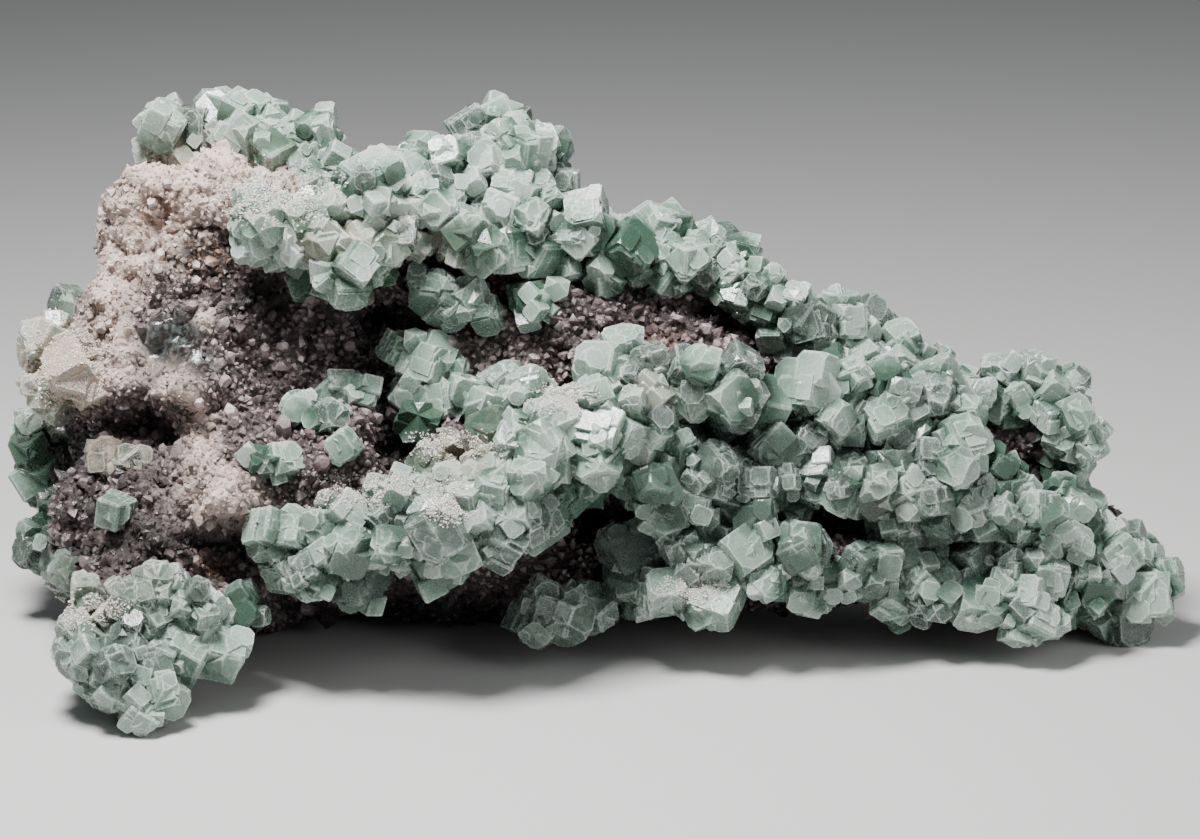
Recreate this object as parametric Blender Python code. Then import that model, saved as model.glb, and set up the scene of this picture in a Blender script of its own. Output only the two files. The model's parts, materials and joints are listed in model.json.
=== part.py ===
"""Green fluorite cluster on a quartz-druse matrix, as one resting specimen.

The rock is a fused mass of round lumps, cut flat where it stands. Ribs of it carry bands of
fluorite. Each band is a core with blocky crystals grown through each other all over it, and the
bands that meet are one crust. Clumps and patches of the same crystals stand apart from the crust.
The specimen is laid out as its front view shows it: a place is given by how far across and up the
front view it lies and how near it is, all in millimetres.
"""

import itertools
import math

import bmesh
import bpy
import numpy as np
from mathutils import Matrix, Quaternion, Vector, noise
from mathutils.bvhtree import BVHTree

MM = 0.001

# The front view looks down by this angle, and its sizes are true in the plane through the origin.
VIEW_ANGLE = math.radians(15.0)
EYE_DISTANCE = 450.0
VIEW_CENTRE = (1.0, 30.0)
UP_AXIS = Vector((0.0, math.sin(VIEW_ANGLE), math.cos(VIEW_ANGLE)))
NEAR_AXIS = Vector((0.0, -math.cos(VIEW_ANGLE), math.sin(VIEW_ANGLE)))
SIGHT_REACH = 90.0

# Fineness of the solids and the gap between two of them, in millimetres, how much of the
# triangles of a fine surface a plain one keeps, and how a fused surface is smoothed.
ROCK_VOXEL = 1.2
CORE_VOXEL = 1.0
GAP = 0.5
LEAST_GAP = 0.25
SAME_PLACE = 0.001
CORNER_GAP = GAP * math.sqrt(3.0)
ROCK_DETAIL = 0.036
CORE_DETAIL = 0.035
BALL_DETAIL = 3
SMOOTHING = 0.5
SMOOTH_PASSES = 4
FLAT_ANGLE = 0.01
CRYSTAL_DETAILS = np.linspace(0.38, 0.6, 12)
PATCH_DETAILS = np.linspace(0.6, 0.95, 8)

# Growth of the crystals: the size and spacing in millimetres, the spread of sizes, the share of
# cubes, and how far a crystal stands out, in its own radii. A patch holds together by hearts of
# PATCH_CORE radii. Lumps follow each other along a chain by LUMP_STEP radii.
CRYSTAL_RADIUS = 3.6
CRYSTAL_SPACING = 4.5
CANDIDATES = 9000
SIZE_SPREAD = 0.25
CUBE_SHARE = 0.4
CRYSTAL_RISE = 0.1
PATCH_CORE = 0.55
PATCH_RISE = 0.35
LUMP_STEP = 0.4
SEED = 1

# The rock under a band, in radii of the band's core: how thick it is, how far it lies behind the
# band, and how far in it reaches.
RIB_RADIUS = 1.0
RIB_DEPTH = 1.35
RIB_REACH = 2.6

# Relief of the bare rock: how far it is raised, and how wide its lumps are, in millimetres. Each
# width reads its own part of the noise, which lies RELIEF_SHIFT times the width along.
RELIEF = [(1.6, 10.0), (0.9, 5.0)]
RELIEF_SHIFT = 7.0

# The block that stands for the ground, in millimetres.
GROUND_WIDTH = 400.0
GROUND_DEPTH = 100.0

# Colours as red, green and blue, with the roughness.
ROCK_FINISH = ((0.42, 0.36, 0.37), 0.75)
FLUORITE_FINISH = ((0.55, 0.72, 0.60), 0.3)

# Body of the rock: chains of lumps, each given as across, up, near and radius.
BODY = {
    "left_pillar": [(-50, 51, -9, 11), (-50, 42, -9, 12), (-51, 30, -8, 14), (-50, 17, -7, 13)],
    "upper_body": [
        (-49, 51, -10, 11), (-34, 48, -11, 12), (-19, 44, -12, 13), (-4, 40.5, -12, 13),
        (11, 36.5, -12, 13), (25, 30, -12, 12), (37, 24.5, -12, 11), (48, 19, -13, 9),
        (58, 13.5, -14, 7), (66, 9.5, -15, 4.5),
    ],
    "lower_body": [
        (-51, 15, -7, 13), (-36, 18, -7, 13), (-21, 20, -8, 13), (-6, 20, -10, 13),
        (9, 21, -11, 12), (24, 19, -12, 11), (36, 16, -12, 9), (48, 12, -13, 7.5),
    ],
    "back_foot": [(-40, 17, -15, 12), (-20, 16, -17, 13), (0, 16, -17, 12), (18, 17, -16, 11)],
    "lower_front": [(-58, 19, 2, 9), (-46, 19, 3, 11), (-33, 21, 2, 11)],
    "foot_spur": [(-53, 12, 8, 9), (-58, 6, 15, 6.5)],
    "top_rim": [(-55, 58, -2, 4), (-47, 59, 0, 4.5), (-40, 57, 0, 4.5)],
    "left_wall": [
        (-58, 53, -5, 4), (-58, 44, -2, 4.5), (-57, 36, 1, 4), (-50, 31, 5, 3.5), (-48.5, 24, 7, 3),
    ],
    "ledge": [(-51, 20, 11, 4), (-47, 21, 13, 4), (-43, 19.5, 12, 3.5)],
    "middle": [
        (-42, 34, -10, 12), (-30, 33, -12, 12), (-16, 31, -13, 12), (0, 30, -14, 11), (14, 28, -14, 10),
    ],
}

# Pits in the rock: across, up and near, then half the width, height and depth.
PITS = [
    (-58, 26.5, 9, 6.5, 4.5, 7),
    (-27, 42, 3, 5, 3.5, 7),
    (-24, 26, 6, 4.5, 4.5, 6),
    (3, 17, 2, 8, 5, 6),
]

# Bands of fluorite: the path as across, up and near, and the radius of the core.
CRUST_BANDS = {
    "crown": (
        [(-48, 60, -20), (-52, 63, -12), (-45, 65, -8), (-38, 63.5, -6), (-32, 59, -4), (-28, 56, 0)],
        3.0,
    ),
    "upper_band": ([(-40, 53, 4), (-34, 54, 6), (-27, 55.5, 5), (-20, 58, 1)], 3.0),
    "shelf": ([(-36, 47, 5), (-29, 49, 7), (-26, 53, 3)], 2.2),
    "peak": ([(-20, 59, -4), (-15, 60.5, -4), (-10, 63, -5), (-8, 59, -5)], 4.2),
    "upper_slope": (
        [(-18, 53, 2), (-9, 52.5, 2), (1, 52, -2), (8, 50, -4), (16, 48.5, -4), (20, 44.5, -3)],
        3.2,
    ),
    "right_slope": ([(20, 44, -2), (27, 40, -2), (34, 38, -5), (40, 35, -6), (45, 31, -6)], 3.2),
    "middle_arm": ([(2, 36, 6), (8, 35.5, 9), (16, 34, 10), (20, 33, 8)], 3.2),
    "right_arm": ([(26, 33, 3), (32, 31, 5), (39, 32, 2), (43, 29, 1)], 3.0),
    "middle_ridge": (
        [(-36, 14, 15), (-29, 15, 17), (-20, 16, 18), (-11, 19, 17), (-6, 25, 14), (1, 29, 11), (7, 30, 10)],
        3.6,
    ),
    "ridge_top": ([(-19, 25, 9), (-13, 27.5, 9), (-7, 30, 9)], 2.6),
    "ridge_drop": ([(-3, 24, 12), (0, 25, 11)], 3.0),
    "low_arm": ([(7, 25, 10), (12, 22, 9), (16, 18, 7)], 2.6),
    "low_band": ([(20, 23, 5), (26, 22.5, 6), (32, 22, 6), (38, 21, 5)], 2.6),
    "bottom_band": ([(7, 10, 4), (12, 10.5, 5), (18, 14.5, 6), (25, 12, 8), (31, 10.5, 6)], 2.8),
    "right_flank": ([(44, 27, 2), (47, 23, 4), (42, 19, 3), (51, 19, 2), (57, 16, 0)], 3.4),
    "knob": ([(52, 32.5, -8), (57, 32, -8), (58, 27, -9)], 3.6),
    "tip": ([(57, 16, -2), (60, 14.5, -6), (63.5, 12, -8), (66.5, 8.5, -9)], 3.6),
    "right_foot": ([(38, 15, 0), (40, 10, 1), (47, 11, 1), (53, 8, 1), (59, 9, 0)], 3.2),
    "back_crest": (
        [(-48, 60, -20), (-36, 58, -22), (-24, 57, -23), (-12, 55, -22), (0, 51, -22), (12, 47, -22)],
        3.2,
    ),
    "back_slope": ([(12, 47, -22), (24, 41, -22), (36, 33, -21), (47, 27, -20), (57, 20, -19)], 3.2),
    "back_ridge": (
        [(-44, 39, -24), (-32, 35, -28), (-18, 37, -30), (-4, 33, -29), (10, 31, -28), (24, 26, -26)],
        3.2,
    ),
    "back_link": ([(-12, 55, -22), (-15, 46, -28), (-18, 37, -30)], 2.6),
    "back_arm": ([(36, 33, -21), (30, 26, -24), (24, 26, -26)], 2.6),
}

# Clumps on spurs of the rock, each of one or more such bands.
CLUMPS = {
    "left_foot_clump": [
        ([(-61, 5, 18), (-58.5, 1, 21), (-57.5, -2, 23)], 4.0),
        ([(-59, 3, 20), (-54, 9, 17), (-50, 6, 19.5), (-46, 5.5, 18)], 2.8),
    ],
    "left_edge_clump": [([(-63, 44, -4), (-64, 39, -2), (-69, 37, -3), (-65, 36, 0), (-61, 34.5, 2)], 2.6)],
    "far_left_clump": [([(-67, 27.5, -14), (-68.5, 22, -15), (-68, 17, -15), (-66, 12, -13)], 2.0)],
    "under_clump": [([(-5, 8, 2), (-4, 5, 3), (0, 7, 2)], 2.4)],
}

# Patches of crystals on the open face of the rock: across, up and radius of each crystal.
PATCHES = {
    "hanging_row": [(-20, 46, 3.0), (-16, 44.5, 3.0), (-13.5, 42.5, 2.8)],
    "high_crystal": [(-6.5, 44.4, 3.6)],
    "middle_crystal": [(-9.6, 34.4, 2.8)],
    "centre_clump": [
        (-23, 39, 3.4), (-19.5, 38.5, 3.0), (-18, 34.5, 3.2), (-14.5, 33, 2.8), (-22, 33.5, 3.2),
        (-21, 30, 2.8), (-15.5, 31, 3.0),
    ],
    "left_pair": [(-33.1, 29.1, 2.8), (-36.5, 30, 2.2)],
    "low_pair": [(-42, 24.5, 2.6), (-38.5, 24, 2.8)],
    "small_crystal": [(-30.6, 26, 2.4)],
    "front_pair": [(-33, 32.5, 2.6), (-29.5, 32, 2.6)],
    "cavity_crystal": [(-60, 23, 3.4)],
    "cavity_cube": [(-59, 17.5, 2.4)],
}


def seen(across, up, near):
    """The point, in metres, that the front view shows at across and up, near mm in front of its plane."""
    shrink = 1.0 - near / EYE_DISTANCE
    across = VIEW_CENTRE[0] + (across - VIEW_CENTRE[0]) * shrink
    up = VIEW_CENTRE[1] + (up - VIEW_CENTRE[1]) * shrink
    return (Vector((across, 0.0, 0.0)) + up * UP_AXIS + near * NEAR_AXIS) * MM


def add_object(name, mesh):
    obj = bpy.data.objects.new(name, mesh)
    bpy.context.scene.collection.objects.link(obj)
    return obj


def add_tool(name, mesh):
    """A cutter or a shape to be joined in, which isn't a piece itself."""
    obj = add_object(name, mesh)
    obj.hide_render = True
    obj.display_type = "WIRE"
    return obj


def finish(obj, colour, roughness):
    """Gives a node its own material in place of the empty slots that a cut leaves."""
    material = bpy.data.materials.new(obj.name)
    material.use_nodes = True
    shader = material.node_tree.nodes["Principled BSDF"]
    shader.inputs["Base Color"].default_value = (*colour, 1.0)
    shader.inputs["Roughness"].default_value = roughness
    shader.inputs["Metallic"].default_value = 0.0
    obj.data.materials.clear()
    obj.data.materials.append(material)


def settle(obj):
    """Gives an object the mesh that its modifiers make of it, and no modifiers."""
    graph = bpy.context.evaluated_depsgraph_get()
    graph.update()
    mesh = bpy.data.meshes.new_from_object(obj.evaluated_get(graph))
    obj.modifiers.clear()
    obj.data = mesh


def combine(obj, tool, operation):
    """Joins tool to obj or cuts it away. A tool that is joined may be made of shapes that overlap,
    which takes the exact solver, and one that is cut away may fold through itself in its hollows,
    which that solver can't follow."""
    boolean = obj.modifiers.new(operation.lower(), "BOOLEAN")
    boolean.object = tool
    boolean.operation = operation
    boolean.solver = "EXACT" if operation == "UNION" else "MANIFOLD"
    boolean.use_self = operation == "UNION"
    settle(obj)


def ball_form():
    """A round ball of radius 1."""
    shape = bmesh.new()
    bmesh.ops.create_icosphere(shape, subdivisions=BALL_DETAIL, radius=1.0)
    mesh = bpy.data.meshes.new("ball_form")
    shape.to_mesh(mesh)
    shape.free()
    return mesh


def crystal_template(corners):
    """A convex crystal with flat faces round the given corners."""
    shape = bmesh.new()
    for corner in corners:
        shape.verts.new(corner)
    bmesh.ops.convex_hull(shape, input=shape.verts[:])
    bmesh.ops.dissolve_limit(shape, angle_limit=FLAT_ANGLE, verts=shape.verts[:], edges=shape.edges[:])
    mesh = bpy.data.meshes.new("crystal_form")
    shape.to_mesh(mesh)
    shape.free()
    return mesh


def crystal_forms():
    """The two habits: a cube, and a cube whose corners are cut back to the middles of its edges."""
    side = 1.0 / math.sqrt(3.0)
    cube = [Vector(signs) * side for signs in itertools.product((-1, 1), repeat=3)]
    edge = 1.0 / math.sqrt(2.0)
    middles = []
    for axis in range(3):
        for signs in itertools.product((-1, 1), repeat=2):
            middle = [edge * sign for sign in signs]
            middle.insert(axis, 0.0)
            middles.append(Vector(middle))
    return crystal_template(cube), crystal_template(middles)


def copies_of(name, forms, matrices):
    """One mesh of many shapes: a copy of each form, moved by its matrix."""
    shape = bmesh.new()
    for form, matrix in zip(forms, matrices):
        copy = form.copy()
        copy.transform(matrix)
        shape.from_mesh(copy)
        bpy.data.meshes.remove(copy)
    mesh = bpy.data.meshes.new(name)
    shape.to_mesh(mesh)
    shape.free()
    return mesh


def lumps_along(chain):
    """Centres and radii, in metres, of the lumps that fill a chain from each of its lumps to the next."""
    lumps = []
    for (start, first_radius), (end, last_radius) in itertools.pairwise(chain):
        steps = max(1, math.ceil((end - start).length / (LUMP_STEP * min(first_radius, last_radius))))
        for step in range(steps + 1):
            share = step / steps
            lumps.append((start.lerp(end, share), first_radius + (last_radius - first_radius) * share))
    return lumps


def blend(obj, voxel):
    """Makes one closed surface of what overlaps, and rounds its creases."""
    remesh = obj.modifiers.new("fuse", "REMESH")
    remesh.mode = "VOXEL"
    remesh.voxel_size = voxel * MM
    smooth = obj.modifiers.new("round", "SMOOTH")
    smooth.factor = SMOOTHING
    smooth.iterations = SMOOTH_PASSES
    settle(obj)


def fused(name, lumps, voxel):
    """One closed surface round all the lumps."""
    places = [Matrix.LocRotScale(centre, None, Vector((radius,) * 3)) for centre, radius in lumps]
    obj = add_object(name, copies_of(name, itertools.repeat(ball_form()), places))
    blend(obj, voxel)
    return obj


def simplify(obj, detail):
    """Leaves a surface a share of its triangles."""
    decimate = obj.modifiers.new("simplify", "DECIMATE")
    decimate.ratio = detail
    settle(obj)


def is_closed(mesh):
    """Whether each edge of a surface joins two faces, with points in one place taken as one."""
    shape = bmesh.new()
    shape.from_mesh(mesh)
    bmesh.ops.remove_doubles(shape, verts=shape.verts[:], dist=SAME_PLACE * MM)
    closed = all(edge.is_manifold for edge in shape.edges)
    shape.free()
    return closed


def drop_flaps(mesh):
    """Takes away faces that stand off a closed surface by an open edge, and edges without faces."""
    shape = bmesh.new()
    shape.from_mesh(mesh)
    flaps = [face for face in shape.faces if any(edge.is_boundary for edge in face.edges)]
    bmesh.ops.delete(shape, geom=flaps, context="FACES")
    loose = [edge for edge in shape.edges if edge.is_wire]
    bmesh.ops.delete(shape, geom=loose, context="EDGES")
    shape.to_mesh(mesh)
    shape.free()


def cut_back(obj, tools):
    for tool in tools:
        combine(obj, tool, "DIFFERENCE")
    keep_main_body(obj)


def thin(obj, details, tools):
    """Leaves a surface the first of these shares of its triangles at which it stays closed, and
    cuts it back where that has moved it into the tools."""
    whole = obj.data
    for detail in details:
        obj.data = whole
        simplify(obj, detail)
        drop_flaps(obj.data)
        cut_back(obj, tools)
        if is_closed(obj.data):
            return
    raise ValueError(obj.name + " doesn't stay closed")


def swell(mesh, rise_at):
    """Moves a surface out along its normals, each point by what rise_at gives for it in millimetres."""
    normals = [vertex.normal.copy() for vertex in mesh.vertices]
    for vertex, normal in zip(mesh.vertices, normals):
        vertex.co += normal * rise_at(vertex.co) * MM
    mesh.update()


def relief(point):
    """How far the bare rock is raised at a point, by noise of the heights and widths in RELIEF."""
    return sum(
        height * noise.noise(point / (width * MM) + Vector((RELIEF_SHIFT * width, 0.0, 0.0)))
        for height, width in RELIEF
    )


def under_ground():
    """A block with its top at the ground, to cut the specimen flat where it stands."""
    shape = bmesh.new()
    size = Vector((GROUND_WIDTH, GROUND_WIDTH, GROUND_DEPTH)) * MM
    place = Matrix.LocRotScale(Vector((0.0, 0.0, -size.z / 2)), None, size)
    bmesh.ops.create_cube(shape, size=1.0, matrix=place)
    mesh = bpy.data.meshes.new("under_ground")
    shape.to_mesh(mesh)
    shape.free()
    return add_tool("under_ground", mesh)


def keep_main_body(obj):
    """Drops the chips that a cut has left loose."""
    shape = bmesh.new()
    shape.from_mesh(obj.data)
    left = set(shape.verts)
    bodies = []
    while left:
        body, border = set(), [left.pop()]
        while border:
            vertex = border.pop()
            body.add(vertex)
            for link in vertex.link_edges:
                other = link.other_vert(vertex)
                if other in left:
                    left.discard(other)
                    border.append(other)
        bodies.append(body)
    main = max(bodies, key=len)
    chips = [vertex for body in bodies if body is not main for vertex in body]
    bmesh.ops.delete(shape, geom=chips, context="VERTS")
    shape.to_mesh(obj.data)
    shape.free()


def surface_tree(obj):
    return BVHTree.FromPolygons(
        [vertex.co for vertex in obj.data.vertices], [tuple(face.vertices) for face in obj.data.polygons]
    )


def seeds_on(obj, spacing, rng):
    """Points on a surface with their normals, no two closer than spacing: candidates spread by
    area are taken in turn, and each is kept that is clear of those kept before it."""
    mesh = obj.data
    mesh.calc_loop_triangles()
    corners = np.array([[mesh.vertices[i].co for i in face.vertices] for face in mesh.loop_triangles])
    sides = np.cross(corners[:, 1] - corners[:, 0], corners[:, 2] - corners[:, 0])
    areas = np.linalg.norm(sides, axis=1)
    chosen = rng.choice(len(areas), size=CANDIDATES, p=areas / areas.sum())
    share = rng.random((CANDIDATES, 2))
    share[share.sum(axis=1) > 1.0] = 1.0 - share[share.sum(axis=1) > 1.0]
    start = corners[chosen, 0]
    points = (
        start
        + share[:, :1] * (corners[chosen, 1] - start)
        + share[:, 1:] * (corners[chosen, 2] - start)
    )
    normals = sides[chosen] / areas[chosen, None]
    kept = []
    for index, point in enumerate(points):
        if not kept or np.linalg.norm(points[kept] - point, axis=1).min() > spacing:
            kept.append(index)
    return [(Vector(points[i]), Vector(normals[i])) for i in kept]


def random_turn(rng):
    turn = Quaternion(rng.normal(size=4))
    turn.normalize()
    return turn


def band_chain(band):
    path, radius = band
    return [(seen(*place), radius * MM) for place in path]


def rib_chain(band):
    """The rock under a band: its chain drawn in towards the middle of the rock."""
    axis = [seen(*lump[:3]) for chain in ("upper_body", "lower_body") for lump in BODY[chain]]
    chain = []
    for centre, radius in band_chain(band):
        inward = min(axis, key=lambda point: (point - centre).length) - centre
        for depth in (RIB_DEPTH, RIB_REACH):
            place = centre + inward.normalized() * min(depth * radius, inward.length)
            chain.append((place, RIB_RADIUS * radius))
    return chain


def make_rock(ground):
    chains = [[(seen(*lump[:3]), lump[3] * MM) for lump in chain] for chain in BODY.values()]
    chains += [rib_chain(band) for band in itertools.chain(CRUST_BANDS.values(), *CLUMPS.values())]
    rock = fused("matrix_rock", [lump for chain in chains for lump in lumps_along(chain)], ROCK_VOXEL)
    places = [
        Matrix.LocRotScale(seen(across, up, near), None, Vector((wide, deep, high)) * MM)
        for across, up, near, wide, high, deep in PITS
    ]
    pits = add_tool("pits", copies_of("pits", itertools.repeat(ball_form()), places))
    combine(rock, pits, "DIFFERENCE")
    blend(rock, ROCK_VOXEL)
    swell(rock.data, relief)
    simplify(rock, ROCK_DETAIL)
    combine(rock, ground, "DIFFERENCE")
    keep_main_body(rock)
    return rock


def room_round(rock, gap):
    """A tool the shape of the rock, larger all round by a gap."""
    mesh = rock.data.copy()
    swell(mesh, lambda point: gap)
    return add_tool("room_round_rock", mesh)


class Growth:
    """Grows the nodes of fluorite on one rock, each clear of the rock and of the others."""

    def __init__(self, rock, ground, rng):
        self.ground = ground
        self.rng = rng
        self.room = room_round(rock, GAP)
        self.least_room = room_round(rock, LEAST_GAP)
        self.room_tree = surface_tree(self.room)
        self.forms = crystal_forms()
        self.taken = {}
        self.patch_rooms = []

    def is_clear(self, name, centre, radius):
        """Whether a ball is clear of all that the nodes other than this one take up."""
        return all(
            (centre - other).length > radius + reach + GAP * MM
            for owner, balls in self.taken.items()
            for other, reach in balls
            if owner != name
        )

    def is_outside(self, point):
        foot, out, _, _ = self.room_tree.find_nearest(point)
        return (point - foot).dot(out) > 0.0

    def crystals_over(self, name, core):
        """Centres and radii of crystals spread over what the rock leaves free of a core."""
        places = []
        for point, normal in seeds_on(core, CRYSTAL_SPACING * MM, self.rng):
            radius = CRYSTAL_RADIUS * MM * (1.0 + SIZE_SPREAD * self.rng.uniform(-1.0, 1.0))
            centre = point + normal * CRYSTAL_RISE * radius
            if self.is_outside(point) and self.is_clear(name, centre, radius):
                places.append((centre, radius))
        return places

    def on_rock(self, across, up, radius):
        """Centre and radius of a crystal that sits on the rock where the front view shows it."""
        start = seen(across, up, SIGHT_REACH)
        sight = (seen(across, up, -SIGHT_REACH) - start).normalized()
        place, out, _, _ = self.room_tree.ray_cast(start, sight)
        return place + out * PATCH_RISE * radius * MM, radius * MM

    def join(self, name, core, places, details):
        """Joins crystals to a core, and cuts the node back from the rock, from the patches before
        it and from the ground."""
        simplify(core, CORE_DETAIL)
        forms = [self.forms[self.rng.random() > CUBE_SHARE] for _ in places]
        turns = [random_turn(self.rng) for _ in places]
        crystals, rooms = (
            copies_of(
                name + "_crystals",
                forms,
                [
                    Matrix.LocRotScale(centre, turn, Vector((radius + swelling,) * 3))
                    for (centre, radius), turn in zip(places, turns)
                ],
            )
            for swelling in (0.0, CORNER_GAP * MM)
        )
        combine(core, add_tool(name + "_crystals", crystals), "UNION")
        cut_back(core, (self.room, *self.patch_rooms, self.ground))
        thin(core, details, (self.least_room, self.ground))
        return core, add_tool("room_round_" + name, rooms)

    def grow_bands(self, name):
        """A node whose bands have their lumps kept in taken, with crystals all over."""
        core = fused(name, self.taken[name], CORE_VOXEL)
        places = self.crystals_over(name, core)
        node, _ = self.join(name, core, places, CRYSTAL_DETAILS)
        self.taken[name] += places
        return node

    def grow_patch(self, name, patch):
        """A node of the crystals of a patch that have room, held together by lumps in their hearts."""
        places = [self.on_rock(*crystal) for crystal in patch]
        places = [place for place in places if self.is_clear(name, *place)]
        hearts = [(centre, PATCH_CORE * radius) for centre, radius in places]
        self.taken[name] = lumps_along(hearts) or hearts
        core = fused(name, self.taken[name], CORE_VOXEL)
        node, room = self.join(name, core, places, PATCH_DETAILS)
        self.patch_rooms.append(room)
        return node


def make_fluorite(growth):
    """The patches on the open rock first, then the bands, whose crystals leave them room."""
    crust = "fluorite_crust"
    for name, bands in {crust: list(CRUST_BANDS.values()), **CLUMPS}.items():
        growth.taken[name] = [lump for band in bands for lump in lumps_along(band_chain(band))]
    nodes = [growth.grow_patch(name, patch) for name, patch in PATCHES.items()]
    return nodes + [growth.grow_bands(name) for name in (crust, *CLUMPS)]


def centre_specimen(nodes):
    """Hangs the nodes on an empty that puts the middle of the specimen over the origin."""
    corners = np.array([corner for node in nodes for corner in node.bound_box])
    middle = (corners.min(axis=0) + corners.max(axis=0)) / 2.0
    specimen = add_object("specimen", None)
    specimen.location = (-middle[0], -middle[1], 0.0)
    for node in nodes:
        node.parent = specimen


def main():
    for obj in list(bpy.data.objects):
        bpy.data.objects.remove(obj)
    ground = under_ground()
    rock = make_rock(ground)
    fluorite = make_fluorite(Growth(rock, ground, np.random.default_rng(SEED)))
    finish(rock, *ROCK_FINISH)
    for node in fluorite:
        finish(node, *FLUORITE_FINISH)
    centre_specimen([rock, *fluorite])


main()
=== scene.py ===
"""Dresses the solids of a green fluorite cluster with fine crystals, quartz druse and finishes.

Each node of fluorite gets a core that follows its solid and blocky crystals grown over it, each with
smaller ones that share its axes. The rock gets a knobbly surface and a druse of quartz points.
Places that only the front view shows are given as it shows them, across and up in millimetres.
"""

import functools
import itertools
import json
import math

import bmesh
import bpy
import numpy as np
from bpy.props import FloatProperty, FloatVectorProperty, IntProperty, PointerProperty
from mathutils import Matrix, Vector
from mathutils.bvhtree import BVHTree
from mathutils.kdtree import KDTree


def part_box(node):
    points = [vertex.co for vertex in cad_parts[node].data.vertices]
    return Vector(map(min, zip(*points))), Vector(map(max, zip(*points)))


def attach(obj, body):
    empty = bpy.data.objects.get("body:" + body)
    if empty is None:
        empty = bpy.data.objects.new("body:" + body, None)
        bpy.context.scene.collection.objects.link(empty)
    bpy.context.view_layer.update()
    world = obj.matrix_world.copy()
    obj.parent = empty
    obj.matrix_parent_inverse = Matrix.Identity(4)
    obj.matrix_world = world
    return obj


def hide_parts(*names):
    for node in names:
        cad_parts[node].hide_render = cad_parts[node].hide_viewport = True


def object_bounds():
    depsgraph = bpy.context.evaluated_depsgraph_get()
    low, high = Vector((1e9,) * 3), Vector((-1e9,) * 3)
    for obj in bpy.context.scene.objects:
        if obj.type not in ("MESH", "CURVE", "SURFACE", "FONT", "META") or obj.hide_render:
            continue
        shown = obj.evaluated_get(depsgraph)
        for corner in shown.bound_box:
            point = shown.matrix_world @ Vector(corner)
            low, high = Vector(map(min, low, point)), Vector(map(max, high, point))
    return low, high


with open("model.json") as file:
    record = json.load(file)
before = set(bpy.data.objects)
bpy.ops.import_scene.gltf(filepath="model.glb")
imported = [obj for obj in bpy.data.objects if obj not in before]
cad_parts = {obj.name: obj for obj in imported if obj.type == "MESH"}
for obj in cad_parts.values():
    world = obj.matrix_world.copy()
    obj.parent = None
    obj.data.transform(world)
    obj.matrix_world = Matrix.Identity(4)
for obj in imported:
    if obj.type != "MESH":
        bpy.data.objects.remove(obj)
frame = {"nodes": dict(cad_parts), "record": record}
CAD_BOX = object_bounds()

bl_info = {
    "name": "Fluorite Cluster Finish",
    "version": (1, 0, 0),
    "blender": (4, 5, 0),
    "location": "3D View > Sidebar > Fluorite",
    "description": "Grows the fine crystals and quartz druse of a fluorite cluster over its solids",
    "category": "Object",
}

MM = 0.001
TINY = 1e-5
ON_PLANE = 4.0 * TINY
DECIMALS = 5
BODY = "root"
ROCK = "matrix_rock"
CRUST = "fluorite_crust"
FLUORITE_NODES = [
    part["node"] for part in frame["record"]["subparts"] if part["material_slot"] == "fluorite"
]
CRUST_LAYERS = ("blocks", "corner_blocks", "plates", "small_blocks")

# The front view looks down by this angle at a centre given in its own millimetres. The middle of
# the specimen's box lies VIEW_SHIFT from the view's own origin.
VIEW_ANGLE = math.radians(15.0)
EYE_DISTANCE = 450.0
VIEW_CENTRE = (1.0, 30.0)
VIEW_SHIFT = np.array((0.1, -8.1, 0.0))
ACROSS_AXIS = np.array((1.0, 0.0, 0.0))
UP_AXIS = np.array((0.0, math.sin(VIEW_ANGLE), math.cos(VIEW_ANGLE)))
NEAR_AXIS = np.array((0.0, -math.cos(VIEW_ANGLE), math.sin(VIEW_ANGLE)))
# What the front view shows fades out between these two distances towards it, in millimetres.
FRONT_FADE = (-34.0, -20.0)

# Places on the front view: across, up, half width and half height in millimetres, and strength.
PALE_ROCK = [
    (-50, 62, 11, 5, 1.0),
    (-40, 57, 8, 4, 1.0),
    (-56, 54, 6, 6, 1.0),
    (-60, 46, 4, 6, 0.85),
    (-59, 38, 5, 4, 0.6),
    (-52, 34, 3, 3, 0.9),
    (-48.6, 42.5, 1.4, 1.8, 1.0),
    (-49, 27.5, 2.5, 4.5, 0.85),
    (-46.5, 20, 5.5, 4, 1.0),
    (-66, 36, 6, 5, 0.8),
    (-9, 34.5, 5, 3, 0.55),
]
GREY_ROCK = [
    (-52.5, 40, 3.8, 3.6, 1.4),
    (-48.5, 36.5, 2.5, 1.5, 0.7),
    (-54.8, 53, 1.8, 2.0, 0.6),
    (-51, 51, 1.5, 1.5, 0.6),
    (-46, 15.5, 5, 1.5, 0.6),
]
RUSTY = [
    (-54, 56.5, 3.5, 3, 0.5),
    (-48, 50, 3, 2, 0.7),
    (-65, 33.9, 3, 1, 1.0),
    (-48, 11, 3, 2, 0.8),
    (-12, 47, 2, 1, 1.0),
    (-3, 32, 2, 1.5, 1.0),
    (-22, 54.5, 1.5, 1, 0.8),
    (38, 20, 3, 2, 0.7),
    (8, 39, 3, 2, 0.5),
]
BEIGE_CRYSTALS = [
    (-30, 53, 5, 3, 0.6),
    (-65, 36, 7, 6, 1.0),
    (-70, 38, 3, 4, 0.9),
    (-16, 25, 4, 3, 0.8),
    (-50, 63, 7, 3, 0.6),
    (-19, 52, 4, 2, 0.6),
    (8, 33, 3, 2, 0.4),
    (-62, 5, 3, 2, 0.5),
    (-60, 10, 6, 3, 0.4),
    (-60, 24.5, 3, 2.5, 0.9),
]
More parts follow.
